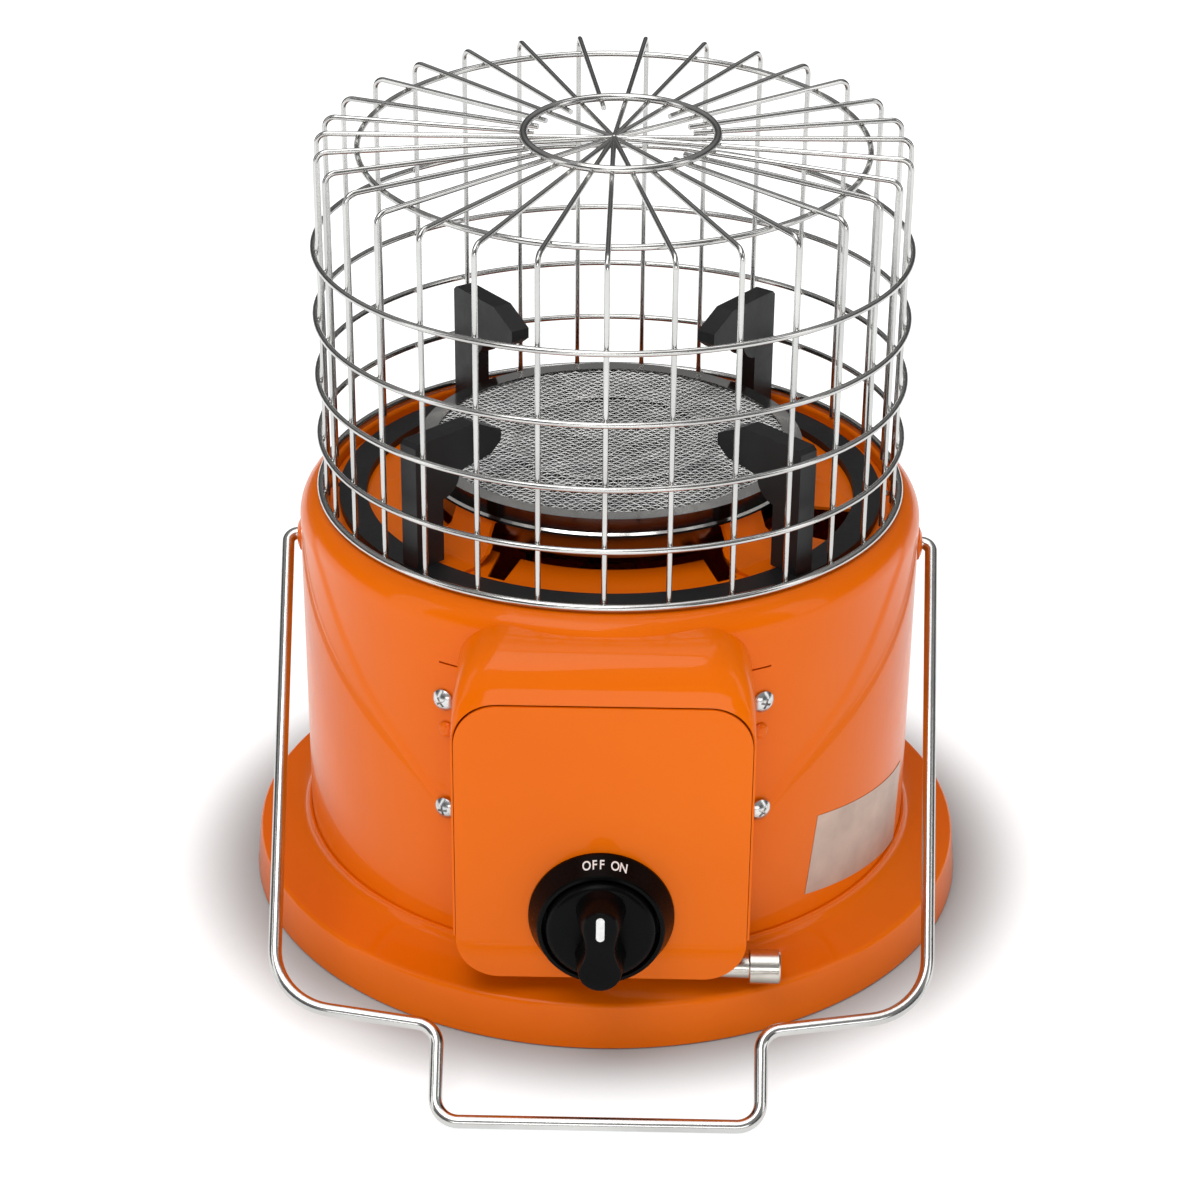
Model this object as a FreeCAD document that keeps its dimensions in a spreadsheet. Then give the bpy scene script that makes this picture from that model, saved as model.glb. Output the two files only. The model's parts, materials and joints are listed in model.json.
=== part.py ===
import FreeCAD, Part
import math
import os

# Portable gas heater: pressed steel drum on a flared base, round burner with a
# pan grate over it, wire guard on top, control housing in front, folding bail.
# Millimetres, +Z up, origin at the centre of the base on the floor, front is -Y.

V = FreeCAD.Vector
doc = FreeCAD.newDocument("heater")

# ---------------------------------------------------------------- dimensions
DIMS = [
    # drum and base
    ("drum_rad", 118.8), ("sheet_thk", 1.2), ("drum_low", 8.0), ("shoulder_rad", 10.0),
    ("drum_top", 164.3), ("lip_rad", 107.6), ("ledge_rad", 101.0), ("ledge_top", 158.8),
    ("pivot_hgt", 139.5), ("eyelet_hole", 4.0), ("win_half", 32.0), ("win_low", 38.0), ("win_top", 74.0),
    ("collar_gap", 0.1), ("collar_top", 27.6), ("skirt_rad", 141.5), ("rim_hgt", 18.4), ("rim_rad", 137.9),
    ("plate_rad", 139.6), ("hem_in", 131.0), ("base_screw_rad", 135.5),
    # deck, grate, burner
    ("deck_in", 68.5), ("deck_out", 107.3), ("slot_out", 95.0), ("slot_front", 86.8), ("deck_screw_rad", 105.65),
    ("grate_in", 93.2), ("grate_out", 103.7), ("grate_thk", 3.0), ("post_in", 90.2), ("post_out", 103.0),
    ("arm_top", 212.0), ("arm_wid", 8.0), ("arm_flat", 74.0), ("arm_tip", 61.3), ("grate_front_off", 43.5), ("grate_rear_off", 36.5),
    ("bowl_rad", 68.6), ("bowl_thk", 0.8), ("bowl_flange", 71.8), ("bowl_top", 175.4), ("bowl_low", 165.0), ("neck_low", 142.0),
    ("rim_out", 73.0), ("rim_in", 66.8), ("rim_top", 182.6), ("mesh_rad", 71.6), ("mesh_low", 181.0), ("mesh_thk", 0.8),
    ("baffle_hgt", 171.0), ("baffle_hole", 1.6), ("baffle_count", 24), ("baffle_pcd", 54.0), ("baffle_pcd_two", 38.0), ("baffle_count_two", 16),
    ("tube_rad", 11.0), ("tube_thk", 1.2), ("tube_mouth", -89.0), ("tube_bend", 24.0), ("tube_top", 146.0),
    # controls
    ("axis_hgt", 54.3), ("front_pos", -134.6), ("plate_half", 52.5), ("plate_low", 27.0), ("plate_top", 139.3), ("corner_rad", 15.6),
    ("bezel_rad", 26.3), ("bezel_front", 22.4), ("bezel_dep", 10.0), ("bezel_bore", 21.3), ("knob_rad", 19.9), ("knob_back", 4.0),
    ("knob_face", 12.5), ("grip_face", 25.5), ("grip_end", 7.5), ("grip_waist", 4.9), ("spindle_rad", 3.0), ("run_gap", 0.05),
    ("valve_half", 13.0), ("valve_front", -131.4), ("valve_rear", -98.0), ("valve_bore", 8.0), ("plug_front", -119.5), ("plug_rear", -108.3),
    ("pipe_rad", 4.6), ("pipe_bore", 3.6), ("pipe_pos", -126.5), ("pipe_hgt", 27.6), ("pipe_end", 54.0), ("riser_pos", 3.0),
    ("coupling_rad", 6.35), ("coupling_len", 11.5), ("inlet_bore", 4.5), ("inlet_dep", 9.0),
    # guard
    ("wire_rad", 1.0), ("wire_pos", 108.15), ("guard_top", 300.7), ("guard_bend", 4.2), ("top_tilt", 3.6), ("wire_low", 164.9), ("hub_rad", 4.95),
    ("short_end", 29.5), ("ring_pos", 110.2), ("base_ring_pos", 110.5), ("ring_wire", 1.1), ("base_ring_wire", 1.4), ("base_ring_hgt", 165.95),
    ("ring_a", 261.6), ("ring_b", 235.5), ("ring_c", 211.4), ("ring_d", 187.8), ("top_ring_pos", 93.0), ("top_ring_wire", 1.15),
    ("inner_ring_pos", 35.3), ("inner_ring_wire", 1.5), ("inner_ring_off", 2.4),
    # bail
    ("bail_wire", 2.45), ("bail_bend", 3.8), ("bail_lean", 54.07), ("bail_end", 113.5), ("bail_side", 124.6), ("bail_knee", 117.4), ("bail_knee_dep", 184.0),
    ("bail_shoulder", 60.0), ("bail_shoulder_dep", 198.0), ("bail_neck", 57.2), ("bail_grip_dep", 233.2),
    # fixings
    ("screw_head", 4.2), ("screw_hgt", 2.6), ("screw_shank", 1.5), ("screw_hole", 1.6), ("screw_off", 29.0), ("screw_low", 81.4), ("screw_up", 126.6), ("screw_drop", 1.8),
    ("ear_from", 114.8), ("ear_to", 123.6), ("ear_low", 66.0), ("ear_top", 140.0), ("rivet_hgt", 114.7), ("rivet_rad", 3.0),
]

sheet = doc.addObject("Spreadsheet::Sheet", "dims")
sheet.Label = "dims"
VAL = {}
for row, (alias, value) in enumerate(DIMS, start=1):
    sheet.set("A%d" % row, alias)
    sheet.set("B%d" % row, repr(value))
    sheet.setAlias("B%d" % row, alias)
    VAL[alias] = float(value)
doc.recompute()


class Q:
    """A size with its value and the sheet expression that drives it."""

    def __init__(self, value, text):
        self.v = float(value)
        self.e = text

    @staticmethod
    def of(other):
        return other if isinstance(other, Q) else Q(other, repr(float(other)))

    def __add__(self, o):
        o = Q.of(o)
        return Q(self.v + o.v, "(%s + %s)" % (self.e, o.e))

    def __radd__(self, o):
        return Q.of(o) + self

    def __sub__(self, o):
        o = Q.of(o)
        return Q(self.v - o.v, "(%s - %s)" % (self.e, o.e))

    def __rsub__(self, o):
        return Q.of(o) - self

    def __mul__(self, o):
        o = Q.of(o)
        return Q(self.v * o.v, "(%s * %s)" % (self.e, o.e))

    def __rmul__(self, o):
        return Q.of(o) * self

    def __truediv__(self, o):
        o = Q.of(o)
        return Q(self.v / o.v, "(%s / %s)" % (self.e, o.e))

    def __neg__(self):
        return Q(-self.v, "(-1 * %s)" % self.e)


def D(name):
    return Q(VAL[name], "dims." + name)


def cosd(deg):
    deg = Q.of(deg)
    return Q(math.cos(math.radians(deg.v)), "cos(%s * 1 deg)" % deg.e)


def sind(deg):
    deg = Q.of(deg)
    return Q(math.sin(math.radians(deg.v)), "sin(%s * 1 deg)" % deg.e)


# ---------------------------------------------------------------- helpers
PARTS = []


def part(obj, label):
    obj.Label = label
    PARTS.append(obj)
    return obj


def new_body(name):
    body = doc.addObject("PartDesign::Body", name)
    if hasattr(body, "AllowCompound"):
        body.AllowCompound = True
    return body


def plane(body, role):
    for feat in body.Origin.OriginFeatures:
        if getattr(feat, "Role", "") == role:
            return feat
    raise RuntimeError("no origin feature " + role)


def new_sketch(body, name, role, lift=None):
    sk = body.newObject("Sketcher::SketchObject", name)
    sk.AttachmentSupport = [(plane(body, role), "")]
    sk.MapMode = "FlatFace"
    if lift is not None:
        lift = Q.of(lift)
        sk.AttachmentOffset = FreeCAD.Placement(V(0, 0, lift.v), FreeCAD.Rotation())
        sk.setExpression("AttachmentOffset.Base.z", lift.e)
    return sk


import Sketcher


def pin_point(sk, geo, pos, x, y):
    """Hold one point at (x, y), each driven by the sheet."""
    for kind, q in (("DistanceX", Q.of(x)), ("DistanceY", Q.of(y))):
        if abs(q.v) < 1e-9:
            axis = -2 if kind == "DistanceX" else -1
            sk.addConstraint(Sketcher.Constraint("PointOnObject", geo, pos, axis))
        elif q.v > 0:
            i = sk.addConstraint(Sketcher.Constraint(kind, -1, 1, geo, pos, q.v))
            sk.setExpression("Constraints[%d]" % i, q.e)
        else:
            i = sk.addConstraint(Sketcher.Constraint(kind, geo, pos, -1, 1, -q.v))
            sk.setExpression("Constraints[%d]" % i, (-q).e)


def arc_through(a, b, radius, left):
    """Minor arc from a to b. left: the bulge lies left of the way from a to b."""
    ax, ay, bx, by = a[0], a[1], b[0], b[1]
    mx, my = (ax + bx) / 2, (ay + by) / 2
    dx, dy = bx - ax, by - ay
    d = math.hypot(dx, dy)
    h = math.sqrt(max(radius * radius - d * d / 4, 0.0))
    nx, ny = -dy / d, dx / d
    if left:
        nx, ny = -nx, -ny
    cx, cy = mx + nx * h, my + ny * h
    sa, ea = math.atan2(ay - cy, ax - cx), math.atan2(by - cy, bx - cx)
    if left:      # bulge on the left: clockwise from a to b
        sa, ea = ea, sa
        flip = True
    else:
        flip = False
    if ea < sa:
        ea += 2 * math.pi
    return Part.ArcOfCircle(Part.Circle(V(cx, cy, 0), V(0, 0, 1), radius), sa, ea), flip


def loop(sk, pts):
    """Closed outline. pts: (x, y) or (x, y, radius, bulge_left) for an arc to the next point."""
    n = len(pts)
    xy = [(Q.of(p[0]), Q.of(p[1])) for p in pts]
    ends = []
    for k in range(n):
        a, b = xy[k], xy[(k + 1) % n]
        if len(pts[k]) == 2:
            g = sk.addGeometry(Part.LineSegment(V(a[0].v, a[1].v, 0), V(b[0].v, b[1].v, 0)), False)
            ends.append((g, 1, 2))
        else:
            r = Q.of(pts[k][2])
            arc, flip = arc_through((a[0].v, a[1].v), (b[0].v, b[1].v), r.v, pts[k][3])
            g = sk.addGeometry(arc, False)
            i = sk.addConstraint(Sketcher.Constraint("Radius", g, r.v))
            sk.setExpression("Constraints[%d]" % i, r.e)
            ends.append((g, 2, 1) if flip else (g, 1, 2))
    for k in range(n):
        g, s, e = ends[k]
        g2, s2, e2 = ends[(k + 1) % n]
        sk.addConstraint(Sketcher.Constraint("Coincident", g, e, g2, s2))
        pin_point(sk, g, s, xy[k][0], xy[k][1])
    return ends


def circle(sk, x, y, r):
    x, y, r = Q.of(x), Q.of(y), Q.of(r)
    g = sk.addGeometry(Part.Circle(V(x.v, y.v, 0), V(0, 0, 1), r.v), False)
    i = sk.addConstraint(Sketcher.Constraint("Radius", g, r.v))
    sk.setExpression("Constraints[%d]" % i, r.e)
    pin_point(sk, g, 3, x, y)
    return g


def path(sk, corners, radii):
    """Open bent line through corner points, with a tangent bend at each inner corner."""
    pts = [(Q.of(c[0]), Q.of(c[1])) for c in corners]
    n = len(pts)
    p = [V(a.v, b.v, 0) for a, b in pts]
    cut_in, cut_out, arcs = {}, {}, {}
    for k in range(1, n - 1):
        r = Q.of(radii[k - 1]).v
        u = (p[k - 1] - p[k]).normalize()
        w = (p[k + 1] - p[k]).normalize()
        ang = u.getAngle(w)
        t = r / math.tan(ang / 2)
        cut_in[k] = p[k] + u * t
        cut_out[k] = p[k] + w * t
        bis = (u + w).normalize()
        arcs[k] = (p[k] + bis * (r / math.sin(ang / 2)), r)
    lines = []
    for k in range(n - 1):
        a = cut_out.get(k, p[k])
        b = cut_in.get(k + 1, p[k + 1])
        lines.append(sk.addGeometry(Part.LineSegment(a, b), False))
    for k in range(1, n - 1):
        c, r = arcs[k]
        a, b = cut_in[k], cut_out[k]
        sa, ea = math.atan2(a.y - c.y, a.x - c.x), math.atan2(b.y - c.y, b.x - c.x)
        ccw = ((a.x - c.x) * (b.y - c.y) - (a.y - c.y) * (b.x - c.x)) > 0
        s0, e0 = (sa, ea) if ccw else (ea, sa)
        if e0 < s0:
            e0 += 2 * math.pi
        g = sk.addGeometry(Part.ArcOfCircle(Part.Circle(c, V(0, 0, 1), r), s0, e0), False)
        first, last = (1, 2) if ccw else (2, 1)
        sk.addConstraint(Sketcher.Constraint("Tangent", lines[k - 1], 2, g, first))
        sk.addConstraint(Sketcher.Constraint("Tangent", lines[k], 1, g, last))
        q = Q.of(radii[k - 1])
        i = sk.addConstraint(Sketcher.Constraint("Radius", g, q.v))
        sk.setExpression("Constraints[%d]" % i, q.e)
        m = sk.addGeometry(Part.Point(p[k]), True)
        pin_point(sk, m, 1, pts[k][0], pts[k][1])
        sk.addConstraint(Sketcher.Constraint("PointOnObject", m, 1, lines[k - 1]))
        sk.addConstraint(Sketcher.Constraint("PointOnObject", m, 1, lines[k]))
    pin_point(sk, lines[0], 1, pts[0][0], pts[0][1])
    pin_point(sk, lines[-1], 2, pts[-1][0], pts[-1][1])
    return sk


def revolve(body, sk, angle=360.0):
    f = body.newObject("PartDesign::Revolution", body.Name + "_rev")
    f.Profile = (sk, [""])
    f.ReferenceAxis = (sk, ["V_Axis"])
    f.Angle = angle
    sk.Visibility = False
    body.Tip = f
    return f


def pad(body, sk, length, back=False, name="pad"):
    length = Q.of(length)
    f = body.newObject("PartDesign::Pad", body.Name + "_" + name)
    f.Profile = (sk, [""])
    f.Length = length.v
    f.setExpression("Length", length.e)
    f.Reversed = back
    body.Tip = f
    return f


def pocket_through(body, sk, name="cut"):
    """Cut right through both ways, and make sure that material went."""
    doc.recompute()
    before = body.Shape.Volume
    f = body.newObject("PartDesign::Pocket", body.Name + "_" + name)
    f.Profile = (sk, [""])
    f.Type = 1
    if hasattr(f, "SideType"):
        f.SideType = "Two sides"
        f.Type2 = 1
    else:
        f.Midplane = True
    body.Tip = f
    doc.recompute()
    if body.Shape.Volume > before - 1e-6:
        raise RuntimeError("nothing was cut: " + f.Name)
    return f


def pocket_blind(body, sk, depth, reversed_=False, name="cut"):
    doc.recompute()
    before = body.Shape.Volume
    depth = Q.of(depth)
    f = body.newObject("PartDesign::Pocket", body.Name + "_" + name)
    f.Profile = (sk, [""])
    f.Length = depth.v
    f.setExpression("Length", depth.e)
    f.Reversed = reversed_
    body.Tip = f
    doc.recompute()
    if body.Shape.Volume > before - 1e-6:
        raise RuntimeError("nothing was cut: " + f.Name)
    return f


def polar(body, feats, count_name, name="polar"):
    f = body.newObject("PartDesign::PolarPattern", body.Name + "_" + name)
    f.Originals = feats
    f.Axis = (plane(body, "Z_Axis"), [""])
    f.Angle = 360.0
    f.Occurrences = int(VAL[count_name])
    f.setExpression("Occurrences", "dims." + count_name)
    body.Tip = f
    return f


def pipe(body, spine, profile, name="pipe"):
    f = body.newObject("PartDesign::AdditivePipe", body.Name + "_" + name)
    f.Profile = (profile, [""])
    count = sum(1 for i in range(spine.GeometryCount) if not spine.getConstruction(i))
    f.Spine = (spine, ["Edge%d" % (i + 1) for i in range(count)])
    f.Mode = "Standard"
    spine.Visibility = False
    profile.Visibility = False
    body.Tip = f
    return f


def turned(name, pts, angle=360.0):
    body = new_body(name)
    sk = new_sketch(body, name + "_outline", "XZ_Plane")
    loop(sk, pts)
    revolve(body, sk, angle)
    return body


def place(obj, base=(0, 0, 0), axis=(0, 0, 1), deg=0.0):
    base = [Q.of(b) for b in base]
    deg = Q.of(deg)
    obj.Placement = FreeCAD.Placement(V(*[b.v for b in base]), FreeCAD.Rotation(V(*axis), deg.v))
    for b, c in zip(base, "xyz"):
        obj.setExpression("Placement.Base." + c, b.e)
    return obj


def copies(base_obj, label, placements):
    """Separate solids of one kind in one node, each placed by its own position."""
    doc.recompute()
    solids = []
    for pl in placements:
        for s in base_obj.Shape.Solids:
            c = s.copy()
            c.Placement = pl.multiply(FreeCAD.Placement())
            solids.append(c)
    f = doc.addObject("Part::Feature", label + "_set")
    f.Shape = Part.Compound(solids)
    return part(f, label)


def cut(name, base, tool):
    f = doc.addObject("Part::Cut", name)
    f.Base, f.Tool = base, tool
    return f


def cylinder(name, r, length, base, rot):
    f = doc.addObject("Part::Cylinder", name)
    r, length = Q.of(r), Q.of(length)
    f.Radius, f.Height = r.v, length.v
    f.setExpression("Radius", r.e)
    f.setExpression("Height", length.e)
    base = [Q.of(b) for b in base]
    f.Placement = FreeCAD.Placement(V(*[b.v for b in base]), rot)
    for b, c in zip(base, "xyz"):
        f.setExpression("Placement.Base." + c, b.e)
    return f


def box(name, x, y, z, dx, dy, dz):
    f = doc.addObject("Part::Box", name)
    dx, dy, dz = Q.of(dx), Q.of(dy), Q.of(dz)
    f.Length, f.Width, f.Height = dx.v, dy.v, dz.v
    f.setExpression("Length", dx.e)
    f.setExpression("Width", dy.e)
    f.setExpression("Height", dz.e)
    base = [Q.of(x), Q.of(y), Q.of(z)]
    f.Placement = FreeCAD.Placement(V(*[b.v for b in base]), FreeCAD.Rotation())
    for b, c in zip(base, "xyz"):
        f.setExpression("Placement.Base." + c, b.e)
    return f


def fuse(name, objs):
    f = doc.addObject("Part::MultiFuse", name)
    f.Shapes = objs
    return f


ALONG_X = FreeCAD.Rotation(V(0, 1, 0), 90)       # local +Z to +X
TO_FRONT = FreeCAD.Rotation(V(1, 0, 0), 90)      # local +Z to -Y
TO_REAR = FreeCAD.Rotation(V(1, 0, 0), -90)      # local +Z to +Y


def outward(az):
    """local +Z to the horizontal direction at azimuth az."""
    return FreeCAD.Rotation(V(0, 0, 1), az).multiply(ALONG_X)


def radial(az, r, z):
    a = math.radians(az)
    return FreeCAD.Placement(V(r * math.cos(a), r * math.sin(a), z), outward(az))


thk = D("sheet_thk")
dr = D("drum_rad")

# ---------------------------------------------------------------- drum shell
sr = D("shoulder_rad")
top = D("drum_top")
lip = D("lip_rad")
drum_body = turned("drum_form", [
    (dr, D("drum_low")),
    (dr, top - sr, sr, False),
    (dr - sr, top, 1.2, False),
    (lip, top - 1.2),
    (lip, D("ledge_top")),
    (D("ledge_rad"), D("ledge_top")),
    (D("ledge_rad"), D("ledge_top") - thk),
    (dr - sr, D("ledge_top") - thk),
    (dr - sr, top - thk, sr - thk, True),
    (dr - thk, top - sr),
    (dr - thk, D("drum_low")),
])
window = box("valve_window", -D("win_half"), -dr - 4, D("win_low"), D("win_half") * 2, 30, D("win_top") - D("win_low"))
pivot_holes = [
    cylinder("pivot_hole_r", D("eyelet_hole"), 12, (dr - 8, 0, D("pivot_hgt")), ALONG_X),
    cylinder("pivot_hole_l", D("eyelet_hole"), 12, (-dr - 4, 0, D("pivot_hgt")), ALONG_X),
]
screw_spots = [(-90 - VAL["screw_off"], VAL["screw_low"] - VAL["screw_drop"]), (-90 - VAL["screw_off"], VAL["screw_up"] - VAL["screw_drop"]),
               (-90.4 + VAL["screw_off"], VAL["screw_low"]), (-90.6 + VAL["screw_off"], VAL["screw_up"])]
rivet_spots = [(-118.6, VAL["rivet_hgt"] - VAL["screw_drop"]), (-61.9, VAL["rivet_hgt"])]
fix_holes = []
for n, (az, z) in enumerate(screw_spots):
    pl = radial(az, VAL["drum_rad"] - 10, z)
    c = cylinder("screw_hole_%d" % n, D("screw_hole"), 20, (0, 0, 0), FreeCAD.Rotation())
    for k in "xyz":
        c.setExpression("Placement.Base." + k, None)
    c.Placement = pl
    fix_holes.append(c)
for n, (az, z) in enumerate(rivet_spots):
    c = cylinder("rivet_hole_%d" % n, 1.3, 20, (0, 0, 0), FreeCAD.Rotation())
    for k in "xyz":
        c.setExpression("Placement.Base." + k, None)
    c.Placement = radial(az, VAL["drum_rad"] - 10, z)
    fix_holes.append(c)
deck_bores = []
for n in range(4):
    a = math.radians(90 * n)
    deck_bores.append(cylinder("deck_bore_%d" % n, 1.0, 6, (D("deck_screw_rad") * math.cos(a), D("deck_screw_rad") * math.sin(a), 155.0), FreeCAD.Rotation()))
wall_slots = []
for n, sx in enumerate((-1, 1)):
    x0, x1, x2 = D("plate_half") - 4.1, D("plate_half") - 1.2, D("plate_half") + 6.6
    wall_slots.append(box("wall_slot_%d" % n, x0 if sx > 0 else -x1, -dr - 4, D("ear_low") - 0.5, x1 - x0, 24, D("ear_top") - D("ear_low") + 1.1))
    wall_slots.append(box("corner_slit_%d" % n, (x1 - 0.2) if sx > 0 else -x2, -dr - 4, D("ear_top") - (0.1 if sx > 0 else 0.7), x2 - x1 + 0.2, 24, 0.7))
drum_tools = fuse("drum_tools", [window] + pivot_holes + fix_holes + deck_bores + wall_slots)
part(cut("drum_cut", drum_body, drum_tools), "drum_shell")

# ---------------------------------------------------------------- base skirt
ci = dr + D("collar_gap")
co = ci + thk
kr, kh, sk_r = D("rim_rad"), D("rim_hgt"), D("skirt_rad")
part(turned("base_skirt_body", [
    (co, D("collar_top")),
    (co, D("collar_top") - 0.9),
    (co + 2.1, 23.4),
    (co + 7.2, 21.0),
    (kr, kh, 2.4, True),
    (kr + 2.0, kh - 2.1),
    (sk_r, 0.4),
    (sk_r - thk, 0.4),
    (sk_r - thk - 0.12, 1.25),
    (D("hem_in"), 1.25),
    (D("hem_in"), 2.45),
    (sk_r - thk - 0.24, 2.45),
    (kr + 0.8, kh - 2.4),
    (kr - 0.2, kh - thk),
    (co + 6.9, 19.8),
    (co + 1.2, 22.4),
    (ci, 26.4),
    (ci, D("collar_top")),
]), "base_skirt")

# ---------------------------------------------------------------- bottom plate
bp = new_body("bottom_plate_body")
s = new_sketch(bp, "bottom_plate_outline", "XY_Plane")
circle(s, 0, 0, D("plate_rad"))
pad(bp, s, thk)
doc.recompute()
bp_screw = turned("base_screw_form", [(0, 0.06), (3.0, 0.06), (1.5, 1.2), (1.5, 7.0), (0, 7.0)])
bp_hole = turned("base_screw_seat", [(0, -0.2), (3.12, -0.2), (3.12, 0), (1.6, 1.16), (1.6, 3.2), (0, 3.2)])
doc.recompute()
base_spots = [FreeCAD.Placement(V(VAL["base_screw_rad"] * math.cos(math.radians(45 + 90 * n)),
                                  VAL["base_screw_rad"] * math.sin(math.radians(45 + 90 * n)), 0), FreeCAD.Rotation()) for n in range(4)]
seats = doc.addObject("Part::Feature", "base_screw_seats")
seats.Shape = Part.Compound([bp_hole.Shape.Solids[0].copy().transformGeometry(p.toMatrix()) for p in base_spots])
part(cut("bottom_plate_cut", bp, seats), "bottom_plate")
skirt_obj = PARTS[1]
PARTS.remove(skirt_obj)
skirt_obj.Label = "base_skirt_form"
seats2 = doc.addObject("Part::Feature", "hem_holes")
seats2.Shape = Part.Compound([Part.makeCylinder(1.6, 4, V(p.Base.x, p.Base.y, 0.5)) for p in base_spots])
part(cut("base_skirt_cut", skirt_obj, seats2), "base_skirt")
copies(bp_screw, "bottom_screws", base_spots)

# ---------------------------------------------------------------- deck and grate
deck = turned("deck_form", [
    (D("deck_in"), D("ledge_top")), (D("deck_out"), D("ledge_top")),
    (D("deck_out"), D("ledge_top") + thk), (D("deck_in"), D("ledge_top") + thk),
])
s = new_sketch(deck, "deck_slots", "XY_Plane")
for a0, b0, b1, a1, ro in ((-126.5, -119.8, -115.2, -118.0, D("slot_front")), (-58.5, -62.5, -57.3, -50.5, D("slot_front")),
                           (-27.0, -27.0, -8.5, -8.5, D("slot_out")), (60.0, 60.0, 66.4, 66.4, D("slot_out")), (113.6, 113.6, 120.0, 120.0, D("slot_out"))):
    ri = D("deck_in") - 3
    loop(s, [(ri * cosd(a0), ri * sind(a0)), (ro * cosd(b0), ro * sind(b0)),
             (ro * cosd(b1), ro * sind(b1)), (ri * cosd(a1), ri * sind(a1))])
pocket_through(deck, s, "slots")
deck_holes = fuse("deck_holes", [cylinder("deck_hole_%d" % n, 1.0, 6,
                  (D("deck_screw_rad") * math.cos(math.radians(90 * n)), D("deck_screw_rad") * math.sin(math.radians(90 * n)), 156.0),
                  FreeCAD.Rotation()) for n in range(4)])
part(cut("deck_cut", deck, deck_holes), "top_deck")

dt = D("ledge_top") + thk
ds = turned("deck_screw_form", [(0, -4.5), (0.95, -4.5), (0.95, 0), (1.75, 0), (1.75, 0.7), (1.1, 1.3), (0, 1.3)])
copies(ds, "deck_screws", [FreeCAD.Placement(V(VAL["deck_screw_rad"] * math.cos(math.radians(90 * n)),
                                               VAL["deck_screw_rad"] * math.sin(math.radians(90 * n)), dt.v), FreeCAD.Rotation()) for n in range(4)])

gt = dt + D("grate_thk")
part(turned("grate_ring_body", [(D("grate_in"), dt), (D("grate_out"), dt), (D("grate_out"), gt), (D("grate_in"), gt)]), "grate_ring")

arm = new_body("grate_arm_form")
s = new_sketch(arm, "arm_outline", "XZ_Plane", -D("arm_wid") / 2)
at = D("arm_top")
loop(s, [
    (D("post_in"), gt), (D("post_out"), gt), (D("post_out"), at - 1.5), (D("post_out") - 1.5, at),
    (D("arm_flat"), at), (D("arm_tip"), at - 6.3), (D("arm_tip"), at - 10.5), (D("arm_tip") + 5.2, at - 14.4),
    (D("arm_tip") + 20.5, at - 16.2, 9.0, False), (D("post_in"), at - 25.0),
])
pad(arm, s, D("arm_wid"))
arm_az = [-90 - VAL["grate_front_off"], -90 + VAL["grate_front_off"], 90 - VAL["grate_rear_off"], 90 + VAL["grate_rear_off"]]
copies(arm, "grate_arms", [FreeCAD.Placement(V(0, 0, 0), FreeCAD.Rotation(V(0, 0, 1), az)) for az in arm_az])

# ---------------------------------------------------------------- burner
br, bt = D("bowl_rad"), D("bowl_thk")
ft, nl = D("bowl_top"), D("neck_low")
part(turned("burner_bowl_body", [
    (D("tube_rad") + 0.05, nl), (16.0, nl), (60.0, 158.4), (br, D("bowl_low")), (br, ft - bt), (D("bowl_flange"), ft - bt),
    (D("bowl_flange"), ft), (br - bt, ft), (br - bt, D("bowl_low") + 0.45), (59.6, 159.2), (15.8, nl + bt), (D("tube_rad") + 0.05, nl + bt),
]), "burner_bowl")
baffle = turned("baffle_form", [(0, D("baffle_hgt")), (br - bt - 0.1, D("baffle_hgt")), (br - bt - 0.1, D("baffle_hgt") + 1.2), (0, D("baffle_hgt") + 1.2)])
s = new_sketch(baffle, "baffle_hole_one", "XY_Plane")
circle(s, D("baffle_pcd"), 0, D("baffle_hole"))
h1 = pocket_through(baffle, s, "hole_one")
p1 = polar(baffle, [h1], "baffle_count", "ring_one")
s = new_sketch(baffle, "baffle_hole_two", "XY_Plane")
circle(s, D("baffle_pcd_two"), 0, D("baffle_hole"))
h2 = pocket_through(baffle, s, "hole_two")
p2 = polar(baffle, [h2], "baffle_count_two", "ring_two")
part(baffle, "burner_baffle")
part(turned("burner_spacer_body", [(69.6, ft), (71.9, ft), (71.9, D("mesh_low")), (69.6, D("mesh_low"))]), "burner_spacer_ring")
part(turned("burner_mesh_body", [(0, D("mesh_low")), (D("mesh_rad"), D("mesh_low")), (D("mesh_rad"), D("mesh_low") + D("mesh_thk")), (0, D("mesh_low") + D("mesh_thk"))]), "burner_mesh")
part(turned("burner_rim_body", [
    (D("rim_out") - 0.9, ft), (D("rim_out") + 0.9, ft), (D("rim_out") + 0.9, ft + 0.9), (D("rim_out"), ft + 1.6), (D("rim_out"), D("rim_top")),
    (D("rim_in"), D("rim_top")), (D("rim_in"), D("mesh_low") + D("mesh_thk")), (D("rim_out") - 0.9, D("mesh_low") + D("mesh_thk")),
]), "burner_rim")

# brackets: foot on the deck, rise under the burner's flange
bk = new_body("bracket_form")
s = new_sketch(bk, "bracket_outline", "XZ_Plane", -13.0)
bb = Q.of(1.4)
loop(s, [
    (92.4, dt), (92.4, dt + bb), (84.0, dt + bb), (75.3, 166.6), (71.7, ft - bt), (68.9, ft - bt), (68.9, ft - bt - 1.4),
    (70.5, ft - bt - 1.4), (74.0, 165.6), (83.6, dt),
])
pad(bk, s, 26.0)
trim = new_body("bracket_trim_form")
s = new_sketch(trim, "bracket_trim", "YZ_Plane", 60.0)
loop(s, [(-13, dt - 2), (13, dt - 2), (13, 164.0), (9.6, 168.5), (9.6, 180), (-9.6, 180), (-9.6, 168.5), (-13, 164.0)])
pad(trim, s, 40.0)
bracket = doc.addObject("Part::Common", "bracket_common")
bracket.Base, bracket.Tool = bk, trim
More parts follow.
